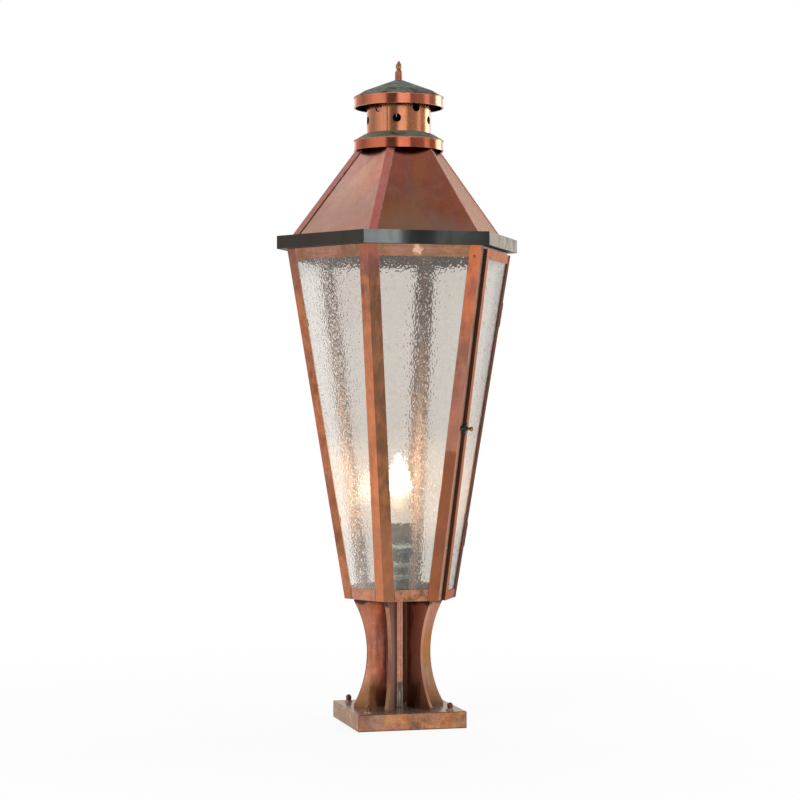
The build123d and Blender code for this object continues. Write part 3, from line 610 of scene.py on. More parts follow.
copper("front_post_copper", ["corner_post_4"], *POST_TONES, heat=0.15, streaks=0.7, stain=browned_lit_and_shaded_legs)
print("front left post painted")

# %% [markdown]
# The post beside the door goes from orange at the top to dark red-brown lower down, with a pink
# patch half way. Its leg at the latch is dull with dust that hands have rubbed, so it is less of a
# metal there, and the pale tone of that dust is also a painted highlight along the leg.

# %% Post beside the door
DOOR_OUT = Vector((0.857, -0.495, -0.145))
PINK_END = 0.338


def orange_top(finish, colour):
    """Orange near the roof, a pink patch with a sharp lower end half way, and brown below that."""
    z = ragged_level(finish, 22, 0.05)
    colour = z.stain(colour, (0.43, 0.53, 0.75, (0.78, 0.225, 0.1)))
    blotch = finish.place().stretched((1, 1, 0.3)).noise(90, 3, 0.5)
    colour = blotch.stain(
        colour, (0.46, 0.68, 0.7, (0.36, 0.125, 0.085)), (0.44, 0.32, 0.5, (0.66, 0.19, 0.085))
    )
    below = ragged_level(finish, 60, 0.004).spread(PINK_END + 0.002, PINK_END - 0.002)
    colour = (below * 0.75).mix(colour, (0.285, 0.1, 0.046))
    pink = (1.0 - below) * z.spread(0.44, 0.4, 0.0, 0.45)
    return pink.mix(colour, (0.5, 0.23, 0.165))


def latch_dust_and_highlight(finish):
    """A grey-brown dusty film on the leg at the latch, rubbed pink around the knob and below it;
    its pale tone is also a painted highlight along the leg.
    """
    smear = finish.place().noise(45)
    dull_coat = smear.ramp((0.35, (0.34, 0.215, 0.155)), (0.6, (0.5, 0.33, 0.245)))
    dull_coat = level_of(finish).stain(dull_coat, (0.42, 0.35, 0.8, (0.6, 0.35, 0.255)))
    # Dust and painted highlight: the leg at the latch is made pale and dull.
    return finish.faces(DOOR_OUT, low=0.85), dull_coat


copper("door_post_copper", ["corner_post_5"], *POST_TONES, heat=0.3, stain=orange_top,
       chalk=latch_dust_and_highlight)
print("post beside the door painted")

# %% [markdown]
# The posts at the back show their inner faces through the glass. Those are sooty at the top, and
# lower down they carry painted light from the lamp, palest at the bulb's height and on the posts at
# the left.

# %% Back posts
FOOT_Z, HEAD_Z = 0.155, 0.584
BACK_POSTS = [f"corner_post_{k}" for k in range(4)]


def inner_faces(finish):
    return outwards(finish).spread(-0.15, -0.45)


def soot_and_lamp_light(finish):
    """Inside, the tops are blackened by the lamp's smoke, and painted lamp light makes the faces
    paler near the bulb's height and on the posts at the left.
    """
    # Painted light: the lamp's light on the inner faces, palest near the bulb's height; soot
    # darkens the tops.
    soot_and_lamp_glow = level_of(finish).spread(FOOT_Z, HEAD_Z).ramp(
        (0.02, (0.7, 0.55, 0.46)), (0.2, (0.85, 0.66, 0.53)), (0.42, (0.9, 0.7, 0.54)),
        (0.62, (0.7, 0.5, 0.38)), (0.78, (0.54, 0.375, 0.28)), (0.95, (0.36, 0.245, 0.185)),
    )
    # Painted light: the inner faces of the posts at the left are made paler.
    tone_mark = finish.place().along("X").stain(soot_and_lamp_glow, (0.01, -0.02, 0.7, (0.88, 0.7, 0.58)))
    return inner_faces(finish), tone_mark


def darker_tops(finish, colour):
    """The top ends of the posts are a darker, duller purple brown."""
    return ragged_level(finish, 40, 0.03).stain(colour, (0.5, 0.57, 0.55, (0.25, 0.125, 0.105)))


post_copper = copper("post_copper", [*BACK_POSTS, "pane_clips"], *POST_TONES, heat=0.1,
                     stain=darker_tops, chalk=soot_and_lamp_light)
print("posts at the back painted", BACK_POSTS)

# %% [markdown]
# The top rails are brushed lengthwise, with painted shade on the side at the door and a painted
# glint on the front, and the bottom ones are dark in front, from smudges and painted shade. The
# door frame is pinker, and painted shade makes the narrow faces that close on the posts nearly
# black. Each stain or painted mark is a tone mixed in by place or direction, because the photograph
# shows just where it lies.

# %% Rails and door
GLINT_SPOT = (-0.0085, -0.1212, 0.578)
DOOR_ALONG = Vector((0.5, 0.866, 0))
DOOR_TAPER = 0.0842
HINGE_STILE = 0.0205


def brushed_shade_and_glint(finish, colour):
    """Long strokes from drawing the rail through a die, darker inner faces, painted shade on the
    faces towards the door, and one painted glint on the front.
    """
    strokes = finish.place().stretched((0.09, 0.09, 1)).noise(330, 4, 0.6)
    colour = strokes.stain(colour, (0.42, 0.64, 0.55, (0.25, 0.155, 0.085)))
    colour = (inner_faces(finish) * 0.85).mix(colour, (0.15, 0.095, 0.07))
    # Painted shade: the faces on the door side are made nearly black.
    colour = finish.faces(DOOR_OUT, 0.92, low=0.85).mix(colour, (0.035, 0.018, 0.013))
    # Painted highlight: a bright glint on the front of the rail.
    off_glint = finish.place().vector("DISTANCE", GLINT_SPOT) + wander(finish, 240, 0.007)
    return off_glint.stain(colour, (0.008, 0.003, 0.8, (1.0, 0.6, 0.44)))


def smudged_shaded_front(finish, colour):
    # Dark smudges and painted shade: the front faces are made darker than the sides, unevenly.
    smudge = finish.place().noise(85, 5, 0.65).spread(0.42, 0.6, 0.15, 0.85)
    return (finish.faces(FRONT_OUT) * smudge).mix(colour, (0.17, 0.078, 0.048))


def low_tone_and_shaded_sides(finish, colour):
    """Dull low down, and painted shade, nearly black, on the closing faces and on the stile at the
    hinges.
    """
    colour = ragged_level(finish, 30, 0.03).stain(colour, (0.53, 0.45, 0.6, (0.6, 0.24, 0.12)))
    # Painted shade: the faces that close on the post are made nearly black.
    colour = finish.faces(-DOOR_ALONG, 0.92, 0.7, 0.9).mix(colour, (0.045, 0.02, 0.013))
    # Painted shade: the stile at the hinges is made nearly black.
    taper = level_of(finish).scaled(-DOOR_TAPER, DOOR_TAPER * FOOT_Z)
    from_middle = finish.place().dot(DOOR_ALONG) + taper
    stile = (HINGE_STILE - 0.001, HINGE_STILE + 0.001, 0.85, (0.055, 0.027, 0.018))
    return from_middle.stain(colour, stile)


copper("rail_copper", ["top_rails"], (0.48, 0.23, 0.14), (0.3, 0.15, 0.085), (0.48, 0.23, 0.19),
       22.0, 0.3, heat=0.12, streaks=0.0, stain=brushed_shade_and_glint)
copper("foot_copper", ["bottom_rails", "floor_pan"], (0.68, 0.3, 0.18), (0.42, 0.185, 0.11),
       (0.64, 0.3, 0.2), 30.0, 0.34, specks=0.6, stain=smudged_shaded_front)
DOOR_PARTS = ["door_frame", "door_hinge_leaves", "post_hinge_leaves", "door_clips"]
copper("door_copper", DOOR_PARTS, (0.54, 0.255, 0.185), (0.36, 0.16, 0.115), (0.54, 0.285, 0.235),
       22.0, 0.34, grazing=(0.58, 0.46, 0.42), stain=low_tone_and_shaded_sides)
print("rails painted, and", DOOR_PARTS)

# %% [markdown]
# The roof sheets are smoother and carry broad heat tints. No two sheets came out of the acid bath
# alike, so there are a red, a pink and a tan one, each used twice, and the paler pink of the sheet
# at the left front is partly painted light. The hip strips went on last and are more purple, and
# the chimney is nearly clean.

# %% Roof and chimney
EAVE_Z = 0.600
CHIMNEY_RADIUS = 0.0396


def pale_foot(finish, colour):
    foot = (EAVE_Z + 0.034, EAVE_Z + 0.006, 0.45, (0.5, 0.29, 0.22))
    return ragged_level(finish, 16, 0.016).stain(colour, foot)


def dull_foot(finish, colour):
    foot = (EAVE_Z + 0.075, EAVE_Z + 0.02, 0.6, (0.34, 0.195, 0.155))
    return ragged_level(finish, 14, 0.03).stain(colour, foot)


def brown_side_strips(finish, colour):
    return abs(finish.facing((1, 0, 0))).stain(colour, (0.3, 0.5, 0.75, (0.36, 0.17, 0.13)))


def sooty_inside(finish, colour):
    tone_mark = (CHIMNEY_RADIUS - 0.0002, CHIMNEY_RADIUS - 0.0004, 0.95, (0.02, 0.013, 0.01))
    return from_axis(finish).stain(colour, tone_mark)


def roof_copper(name, sheets, *tones, **more):
    parts = [f"roof_panel_{k}" for k in sheets]
    copper(name, parts, *tones, tint_share=0.8, streaks=0.15, specks=0.12, edge=0.2, **more)


roof_copper("roof_red", (1, 4), (0.66, 0.21, 0.12), (0.5, 0.155, 0.092), (0.48, 0.215, 0.145),
            11.0, 0.27, heat=0.22, stain=pale_foot)
# The pink sheets are paler; on the sheet at the left front that is partly painted light.
roof_copper("roof_pink", (0, 3), (0.62, 0.27, 0.185), (0.5, 0.24, 0.19), (0.56, 0.36, 0.29),
            11.0, 0.27, heat=0.2, stain=dull_foot)
roof_copper("roof_tan", (2, 5), (0.5, 0.3, 0.22), (0.42, 0.25, 0.18), (0.48, 0.32, 0.25),
            11.0, 0.3, heat=0.12, grazing=(0.74, 0.6, 0.52))
copper("hip_copper", ["hip_strips"], (0.95, 0.34, 0.27), (0.84, 0.26, 0.22), (0.88, 0.27, 0.38),
       15.0, 0.44, metal=0.8, tint_share=0.8, heat=0.2, streaks=0.25, specks=0.2, edge=0.15,
       stain=brown_side_strips)
copper("chimney_copper", ["chimney"], (1.0, 0.4, 0.18), (0.9, 0.33, 0.17), (0.96, 0.42, 0.26),
       24.0, 0.22, tint_share=0.5, heat=0.1, streaks=0.2, specks=0.1, relief=0.00006,
       stain=sooty_inside)
finial_copper = copper("finial_copper", ["finial"], (0.7, 0.29, 0.18), (0.42, 0.16, 0.105),
                       (0.56, 0.225, 0.16), 60.0, 0.32)
print("roof, chimney and finial painted")

# %% [markdown]
# Each cap is one turned piece: a polished rim and a cone under verdigris. One material does both.
# The height of the point decides which it is, with a ragged line where the crust creeps over the
# rim, and everything that faces down or inwards is painted dark, as shade under the rims and as old
# soot.

# %% Caps
RIM_TOPS = (0.7205, 0.7741)
CONE_TOPS = (0.7290, 0.7953)
BETWEEN_CAPS = (0.745, 0.74)
RIM_INSIDE = 0.0546


def on_cones(finish):
    """One on the cones of the two caps, nought on their rims."""
    z = level_of(finish)
    edge = z + wander(finish, 200, 0.0016)
    lower, upper = (
        edge.spread(rim - 0.0016, rim - 0.0004) * z.spread(cone + 0.004, cone + 0.003)
        for rim, cone in zip(RIM_TOPS, CONE_TOPS)
    )
    return lower | upper


cap = Finish("cap_copper")
old = cap.tarnished((1.0, 0.31, 0.17), (0.9, 0.27, 0.148), (0.92, 0.31, 0.2), 20.0, 0.16,
                    tint_share=0.5, heat=0.06, streaks=0.1, specks=0.1)
salts = cap.group(crust, Cover=0.5, Clouds=55.0)
cone = on_cones(cap)
low_cap = level_of(cap).spread(*BETWEEN_CAPS)
bare_cone = cap.mixed(0.92, old["Color"], (0.085, 0.07, 0.055))
slope_run = cap.place().stretched((1, 1, 0.2)).noise(150, 4, 0.6)
cone_tone = salts["Mask"].mix(bare_cone, salts["Color"])
cone_tone = slope_run.stain(cone_tone, (0.48, 0.66, 0.7, (0.05, 0.048, 0.04)))
cone_tone = cap.mixed(0.3, cone_tone, (0.02, 0.022, 0.02))
cone_tone = (low_cap * 0.5).mix(cone_tone, (0.24, 0.27, 0.21))
rim_tone = cap.worn_edges(0.0009, 0.35).mix(old["Color"], (0.9, 0.45, 0.3))
rim_tone = low_cap.mix(rim_tone, rim_tone.tinted((0.86, 0.72, 0.68)))
# Painted shade with old soot: what faces down and the inside of each rim are made dark.
under = cap.facing((0, 0, -1)).spread(0.15, 0.4)
inside = from_axis(cap).spread(RIM_INSIDE, RIM_INSIDE - 0.0004) * cone.spread(0.6, 0.4)
cap.coat(
    Base_Color=(under | inside).mix(cone.mix(rim_tone, cone_tone), (0.11, 0.055, 0.038)),
    Metallic=(cone * salts["Mask"]).spread(0.0, 1.0, 1.0, 0.1),
    Roughness=old["Roughness"].sums("ADD", cone * 0.45, clamp=True),
    Normal=cap.bump(cone * salts["Height"], 0.6, 0.0007),
)
cap.apply("lower_cap", "upper_cap")
print("caps painted", cap.paint.name)

# %% [markdown]
# The pedestal's six fins are red-brown. Heat and flux from soldering left blue-black marks where
# they meet the lantern's floor, and dirt with painted shade darkens them towards the tube and in a
# pool at the foot. The faces turned to the left front are painted in shade. The faces towards the
# tube are dusty at the front, painted darker as shade close to the tube and black at the back, and
# the one that catches the light is gilt half way up, with a painted highlight along its outer edge.

# %% Fins
RIGHT_FRONT_WAY = Vector((0.866, -0.5, 0))
BASE_TOP = 0.0205


def fin_stains_light_and_shade(finish, colour):
    z = level_of(finish)
    rag = wander(finish, 90.0, 0.014, (1.0, 1.0, 0.3))
    ragged_z = z + rag
    out = from_axis(finish) + rag
    edge_on = outwards(finish)
    to_right = finish.place().along("X")
    # Painted shade: the inner edges, towards the tube, are made nearly black.
    colour = edge_on.stain(
        colour, (0.6, 0.8, 0.65, (0.26, 0.122, 0.095)), (-0.6, -0.8, 0.9, (0.05, 0.025, 0.018))
    )
    gilt = to_right.spread(0.012, 0.02, 0.0, 0.8)
    ochre = ragged_z.spread(BASE_TOP, FOOT_Z).ramp(
        (0.06, (0.45, 0.22, 0.13)), (0.22, (0.42, 0.255, 0.145)), (0.45, (0.45, 0.2, 0.05)),
        (0.7, (0.47, 0.2, 0.06)), (0.9, (0.6, 0.28, 0.2)),
    )
    # Painted highlight: a pale pink line along the outer edge of the gilt fin.
    colour = gilt.mix(colour, edge_on.stain(ochre, (0.5, 0.7, 1.0, (0.66, 0.32, 0.21))))
    # Painted shade on the faces turned to the left front, redder at the top on the gilt side.
    under_gilt = ragged_z.spread(0.1, 0.145).mix((0.3, 0.15, 0.11), (0.6, 0.22, 0.11))
    shade = to_right.spread(-0.004, 0.004).mix((0.17, 0.1, 0.072), under_gilt)
    colour = finish.faces(LEFT_FRONT_WAY, 0.55).mix(colour, shade)
    low = ragged_z.spread(BASE_TOP + 0.044, BASE_TOP + 0.018)
    colour = (low * 0.6).mix(colour, gilt.mix((0.64, 0.36, 0.17), (0.4, 0.22, 0.12)))
    # Dirt and painted shade: dark close to the tube, and low down near it.
    dirt_and_shade = out.spread(0.029, 0.017) | low * out.spread(0.04, 0.03)
    colour = (dirt_and_shade * 0.8).mix(colour, (0.06, 0.027, 0.018))
    flux = (FOOT_Z - 0.009, FOOT_Z - 0.004, 0.92, (0.03, 0.036, 0.045))
    return (z + rag * 0.4).stain(colour, flux)


def gap_dust_and_shade(finish):
    gilded = level_of(finish).spread(BASE_TOP, FOOT_Z).ramp(
        (0.08, (0.34, 0.19, 0.115)), (0.28, (0.36, 0.245, 0.155)), (0.5, (0.44, 0.2, 0.06)),
        (0.68, (0.46, 0.205, 0.065)), (0.9, (0.52, 0.25, 0.18)),
    )
    # Painted shade: darker close to the tube, and nearly black on the faces at the back.
    rim = from_axis(finish).spread(0.019, 0.031).mix((0.13, 0.07, 0.05), (0.36, 0.195, 0.15))
    spot = finish.place()
    dull_coat = spot.along("X").spread(0.008, 0.014).mix(rim, gilded)
    dull_coat = spot.along("Y").stain(dull_coat, (-0.002, 0.006, 1.0, (0.05, 0.025, 0.017)))
    return finish.faces(RIGHT_FRONT_WAY), dull_coat


copper("fin_copper", [f"fin_{k}" for k in range(6)], (1.0, 0.45, 0.31), (0.66, 0.28, 0.185),
       (0.78, 0.43, 0.33), 17.0, 0.4, heat=0.3, streaks=0.5, specks=0.5, edge=0.6,
       grazing=(0.6, 0.48, 0.42), stain=fin_stains_light_and_shade, chalk=gap_dust_and_shade)
print("fins painted")

# %% [markdown]
# The tube was dipped at its foot, and the dip ran. The base box is yellower, with a dusty top that
# mirrors the fins, a left face painted darker as shade, dark lines at its folded corners, and a
# painted shadow line along its hem.

# %% Tube and base
BASE_HALF = 0.06775
UP = (0, 0, 1)


def tube_stains(finish, colour):
    z = ragged_level(finish, 120, 0.004)
    runs = finish.place().stretched((1, 1, 0.12)).noise(420)
    foot = runs.spread(0.42, 0.62).mix((0.26, 0.165, 0.115), (0.56, 0.5, 0.41))
    foot = z.stain(foot, (BASE_TOP + 0.018, BASE_TOP + 0.028, 0.8, (0.2, 0.12, 0.09)))
    return z.spread(BASE_TOP + 0.032, BASE_TOP + 0.029).mix(colour, foot)


def base_stains_and_shade(finish, colour):
    spot = finish.place()
    colour = finish.faces(UP, 0.8, low=0.75).mix(colour, (0.26, 0.25, 0.25))
    # Painted shade: the left face is made darker.
    colour = finish.faces((-1, 0, 0), 0.75).mix(colour, (0.16, 0.075, 0.036))
    blotch = spot.stretched((0.6, 0.6, 1)).noise(85, 5, 0.62)
    colour = blotch.stain(
        colour, (0.53, 0.66, 0.4, (0.14, 0.065, 0.038)), (0.45, 0.34, 0.5, (0.72, 0.33, 0.13))
    )
    to_corner = abs(spot.along("X")).sums("MINIMUM", abs(spot.along("Y")))
    fold = to_corner.spread(BASE_HALF - 0.0011, BASE_HALF - 0.0006)
    # Painted shadow: a dark line along the hem, at the foot of the box.
    hem_shadow = spot.along("Z").spread(0.0016, 0.0008)
    return ((fold | hem_shadow) * 0.75).mix(colour, (0.08, 0.04, 0.026))


def settled_dust(finish):
    drift = finish.place().noise(60)
    dull_coat = drift.ramp((0.35, (0.24, 0.195, 0.17)), (0.65, (0.38, 0.32, 0.28)))
    return finish.faces(UP, 0.3, low=0.75), dull_coat


copper("tube_copper", ["tube"], (0.92, 0.44, 0.29), (0.72, 0.31, 0.2), (0.85, 0.41, 0.28),
       40.0, 0.34, metal=0.65, heat=0.1, stain=tube_stains)
copper("base_copper", ["base_box"], (0.58, 0.25, 0.1), (0.16, 0.07, 0.036), (0.4, 0.235, 0.16),
       26.0, 0.22, grazing=(0.95, 0.84, 0.74), heat=0.25, streaks=0.25, specks=0.5, edge=0.2,
       stain=base_stains_and_shade, chalk=settled_dust)
print("tube and base painted")

# %% [markdown]
# ## The eave band
# The band under the roof was blackened on purpose. It is still metal: smooth, nearly black, and it
# mirrors the light boxes as grey panels, with paler metal showing through at worn corners. Its left
# face is painted darker as shade, light and dark stripes are painted on its right face as
# reflections, and its underside is painted dark as shade, in the dull tone of the dusty top ledge.

# %% Blackened band
band = Finish("blackened_band", Metallic=1.0, Specular_Tint=(0.86, 0.8, 0.75))
spot = band.place()
tone_mark = spot.noise(14, 5, 0.6, 0.4)
wiped = spot.stretched((1, 1, 0.25)).noise(60, 4, 0.6)
stripe_noise = spot.stretched((1, 1, 0.3)).noise(42, 3, 0.5, 1.6)
black = tone_mark.ramp((0.3, (0.2, 0.2, 0.195)), (0.52, (0.26, 0.28, 0.285)), (0.72, (0.2, 0.175, 0.15)))
black = wiped.stain(black, (0.48, 0.7, 0.4, (0.14, 0.135, 0.125)))
# Painted shade: the left face is made darker.
black = band.faces(LEFT_FRONT_WAY, 0.8).mix(black, (0.085, 0.062, 0.044))
# Painted reflection: light and dark stripes on the right face.
painted_stripes = stripe_noise.ramp(
    (0.36, (0.6, 0.54, 0.48)), (0.46, (0.08, 0.07, 0.06)), (0.56, (0.36, 0.31, 0.27))
)
black = band.faces(RIGHT_FRONT_WAY, 0.75).mix(black, painted_stripes)
black = band.worn_edges(0.0012, 0.45).mix(black, (0.42, 0.4, 0.36))
# One mask takes the dusty top ledge and the underside, which is painted dark as shade.
ledge_and_underside = abs(band.facing(UP)).spread(0.6, 0.9)
dull_coat = wiped.ramp((0.35, (0.05, 0.047, 0.042)), (0.65, (0.095, 0.088, 0.078)))
band.coat(
    Base_Color=ledge_and_underside.mix(black, dull_coat),
    Roughness=wiped.spread(0.2, 0.8, 0.02, 0.045) + ledge_and_underside * 0.45,
    Normal=band.bump(spot.noise(34, 0), 0.1, 0.0002),
)
band.apply("eave_band")
print("band", band.paint.name)

# %% [markdown]
# ## Small metal
# Studs and nuts are plated steel, the ball nuts and the knob are browned brass, and the turn
# button is dark bronze. One maker with a fine grain serves them all.


# %% Small metals
def small_metal(name, parts, light, dark, satin, clouds=120.0):
    metal = Finish(name, Metallic=1.0)
    old = metal.tarnished(light, dark, dark, clouds, satin, tint_share=0.5, heat=0.0, streaks=0.3)
    bright = tuple(min(1.0, tone * 1.5) for tone in light)
    metal.coat(
        Base_Color=metal.worn_edges(0.0006, 0.6).mix(old["Color"], bright),
        Roughness=old["Roughness"],
        Normal=metal.bump(old["Height"], 0.3, 0.00012),
    )
    return metal.apply(*parts)


STEEL_PARTS = ["mounting_plate", "base_studs", "tube_locknuts", "hinge_pins"]
SOOTY_PARTS = ["chimney_bridge", "cap_rod", "rod_nuts"]
small_metal("plated_steel", STEEL_PARTS, (0.5, 0.5, 0.48), (0.3, 0.29, 0.27), 0.34)
small_metal("sooty_steel", SOOTY_PARTS, (0.02, 0.015, 0.012), (0.012, 0.009, 0.007), 0.8)
ball_paint = small_metal("browned_brass", ["ball_nuts"], (0.34, 0.14, 0.09),
                         (0.16, 0.065, 0.045), 0.26)
small_metal("pale_washer", ["stud_washers"], (0.8, 0.66, 0.57), (0.6, 0.45, 0.37), 0.35)
small_metal("knob_brass", ["door_knob"], (0.6, 0.42, 0.18), (0.34, 0.2, 0.08), 0.22)
small_metal("button_bronze", ["turn_button", "button_rivet"], (0.09, 0.09, 0.095),
            (0.045, 0.045, 0.05), 0.32)
small_metal("socket_brass", ["socket_shell"], (0.68, 0.5, 0.22), (0.5, 0.34, 0.15), 0.26)
small_metal("lamp_base_metal", ["bulb_base"], (0.66, 0.64, 0.6), (0.48, 0.46, 0.43), 0.22)
print("small metals painted")

# %% [markdown]
# ## Rippled glass
# The panes are a clear rain glass: rolled with a fine stipple that breaks whatever is behind it
# into flickering dabs. Real glass is a solid slab, and so is the CAD pane, so the Principled shader
# bends light at both faces. Rays from lamps pass straight through, by the Light Path node, because
# light bent through glass would need far more samples.

# %% Ripple group
ripple, given = new_group("rain_ripple", {"Dab": 340.0, "Pull": 0.75}, ["Height", "Hollow"])
tall = ripple.wire("ShaderNodeCombineXYZ", {0: 1.0, 1: 1.0, 2: given["Pull"]})
drawn = ripple.place().stretched(tall)
cell_feeds = {"Vector": drawn, "Scale": given["Dab"], "Randomness": 1.0}
cells = ripple.wires("ShaderNodeTexVoronoi", cell_feeds)
uneven = cells["Color"].dot((1, 0, 0)).spread(0.0, 1.0, 0.2, 1.4)
drops = cells["Distance"].spread(0.6, 0.15) * uneven
swell = drawn.noise(given["Dab"] * 0.4, 1, 0.4)
ripple.add("NodeGroupOutput", {"Height": drops + swell * 0.3, "Hollow": drops})
print("ripple made")

# %% [markdown]
# Near the lit bulb the stipple catches its light, and that is painted light, a little warm emission
# by distance from the bulb. A much weaker emission over all the glass is painted light too, a pale
# haze, and on the panes at the left front it is paler towards the foot. Two panes at the back have
# more soot from the lamp, and the door's is warmer.

# %% Pane glass
GLASS_IOR = 1.47
BULB_HEART = (0.0, 0.0, 0.300)
BULB_LIGHT = (1.0, 0.72, 0.5)
GLOW_NEAR, GLOW_FAR = 0.0805, 0.112
LOW_GLOW_TOP = 0.27
LOW_GLOW = (0.75, 0.69, 0.64)
LEFT_PANE_SPAN = (0.042, 0.052)
THICK_TINT = 0.92


def rain_glass(name, parts, tint, shade, haze_glow):
    glass = Finish(name, IOR=GLASS_IOR, Transmission_Weight=1.0)
    glass.coat(Roughness=0.03, Emission_Strength=0.1)
    waves = glass.group(ripple)
    spot = glass.place()
    near = spot.vector("DISTANCE", BULB_HEART).spread(GLOW_FAR, GLOW_NEAR)
    caught = near * waves["Hollow"].spread(0.0, 1.0, 0.5, 1.3)
    # Painted light: a paler glow low down on the panes at the left front.
    low_down = spot.along("Z").spread(LOW_GLOW_TOP, FOOT_Z)
    low_left_glow = low_down * spot.dot(LEFT_FRONT_WAY).spread(*LEFT_PANE_SPAN)
    glass.coat(
        Base_Color=waves["Hollow"].mix(tuple(tone * THICK_TINT for tone in tint), tint),
        Normal=glass.bump(waves["Height"], 0.7, 0.00014),
        Emission_Color=caught.mix(low_left_glow.mix(haze_glow, LOW_GLOW), BULB_LIGHT),
    )
    clear = glass.wire("ShaderNodeBsdfTransparent", {"Color": shade})
    shadow_ray = glass.wire("ShaderNodeLightPath", key="Is Shadow Ray")
    through = glass.wire("ShaderNodeMixShader", {0: shadow_ray, 1: glass.shine, 2: clear})
    glass.feed(glass.surface, through)
    glass.apply(*parts)


PANES = [f"pane_{k}" for k in range(5)]
rain_glass("rain_glass", PANES[2:], (1.0, 0.98, 0.95), (0.9, 0.89, 0.87), (0.19, 0.18, 0.165))
rain_glass("warm_rain_glass", ["door_pane"], (1.0, 0.94, 0.87), (0.9, 0.87, 0.83),
           (0.2, 0.17, 0.14))
rain_glass("sooty_rain_glass", PANES[:2], (0.64, 0.6, 0.555), (0.74, 0.71, 0.68),
           (0.06, 0.05, 0.045))
print("panes", PANES, "and the door's")

# %% [markdown]
# ## The lamp
# The bulb is lit. Its glass glows nearly white in the middle and warmer towards the neck and the
# tip, and fades at its outline when it is looked at.

# %% Bulb and filament
BULB_FOOT, BULB_TIP = 0.2635, 0.3325
BULB_MIDDLE = (1.0, 0.8, 0.56)

bulb = Finish("lit_bulb", Base_Color=(0.9, 0.86, 0.78), Roughness=0.25, Emission_Strength=24.0)
share = (level_of(bulb) - BULB_FOOT).sums("DIVIDE", BULB_TIP - BULB_FOOT)
glow = share.ramp(
    (0.0, (0.015, 0.012, 0.008)), (0.2, (0.027, 0.021, 0.014)), (0.32, (0.1, 0.075, 0.045)),
    (0.44, BULB_MIDDLE), (0.75, BULB_MIDDLE), (1.0, (0.7, 0.42, 0.2)),
)
flicker = bulb.place().noise(40).spread(0.2, 0.8, 0.9, 1.05).grey()
towards_eye = 1.0 - bulb.wire("ShaderNodeLayerWeight", {"Blend": 0.5}, "Facing")
soft_edge = towards_eye.sums("POWER", 4.0).grey()
seen = any_of(bulb.wires("ShaderNodeLightPath"), "Is Camera Ray", "Is Transmission Ray")
bulb.coat(Emission_Color=glow.tinted(seen.mix(WHITE, soft_edge)).tinted(flicker))
bulb.apply("bulb_glass")
coil = Finish("glowing_wire", Base_Color=(0.9, 0.7, 0.4), Roughness=0.4, Emission_Strength=9.0)
turns = coil.place().stretched((0.2, 0.2, 1)).noise(900)
coil.coat(Emission_Color=turns.ramp((0.3, (1.0, 0.6, 0.25)), (0.7, (1.0, 0.85, 0.6))))
coil.apply("bulb_filament")
print("bulb lit from", BULB_FOOT, "to", BULB_TIP, "m")

# %% [markdown]
# The socket is black phenolic with a white porcelain collar, and its cup has gone green, palest
# along its turned rings and worn edges, which are verdigris and painted highlight both.

# %% Socket and cup
CUP_RINGS = (0.181, 0.196, 0.219)


def plain_body(name, parts, first, second, clouds, low, high, **settings):
    """Moulded or fired material: two close colours, fine pits and uneven gloss."""
    body = Finish(name, **settings)
    mottle = body.place().noise(clouds, 5)
    rubbed = tuple(min(1.0, tone * 1.6 + 0.02) for tone in first)
    colour = mottle.spread(0.35, 0.65).mix(first, second)
    body.coat(
        Base_Color=body.worn_edges(0.0008, 0.35).mix(colour, rubbed),
        Roughness=mottle.spread(0.2, 0.8, low, high),
        Normal=body.bump(body.place().noise(clouds * 9, 3), 0.3, 0.0002),
    )
    return body.apply(*parts)


plain_body("black_phenolic", ["socket_body"], (0.03, 0.028, 0.026), (0.07, 0.064, 0.058),
           130.0, 0.28, 0.45)
plain_body("white_porcelain", ["socket_collar"], (0.9, 0.89, 0.87), (0.8, 0.78, 0.75),
           90.0, 0.15, 0.3, Coat_Weight=0.4)
plain_body("lead_insulation", ["lead_wires"], (0.05, 0.05, 0.05), (0.09, 0.085, 0.08),
           200.0, 0.4, 0.55)
cup = Finish("green_cup", Metallic=0.35)
salts = cup.group(crust, Cover=0.34, Clouds=90.0)
green = cup.mixed(0.5, salts["Color"], (0.3, 0.4, 0.33))
cup_tone = salts["Mask"].mix((0.026, 0.027, 0.024), green)
# Pale rings: verdigris, and painted highlight where the turned rings catch the light.
for ring_z in CUP_RINGS:
    off_ring = abs(level_of(cup) - ring_z) + wander(cup, 160, 0.0025)
    cup_tone = off_ring.stain(cup_tone, (0.0034, 0.0014, 0.85, (0.6, 0.72, 0.62)))
# The pale worn edges are verdigris and painted highlight both.
cup.coat(
    Base_Color=cup.worn_edges(0.0018, 0.8).mix(cup_tone, (0.4, 0.5, 0.42)),
    Roughness=salts["Mask"].spread(0.0, 1.0, 0.4, 0.7),
    Normal=cup.bump(salts["Height"], 0.5, 0.0006),
)
cup.apply("socket_cup")
print("socket painted, with", len(CUP_RINGS), "pale rings on its cup")

# %% [markdown]
# ## Where things sit on the sides
# The added pieces lie on the sloping sides of the body and the roof. A side is a trapezium between
# two corners of the hexagon. This helper gives a point on it from a distance along, a distance up
# the slope and a height off the sheet, in the frame of the CAD model.


# %% Side helper
def level_way(degrees):
    """Level direction at an angle from the model's x axis."""
    return Vector((math.cos(math.radians(degrees)), math.sin(math.radians(degrees)), 0))


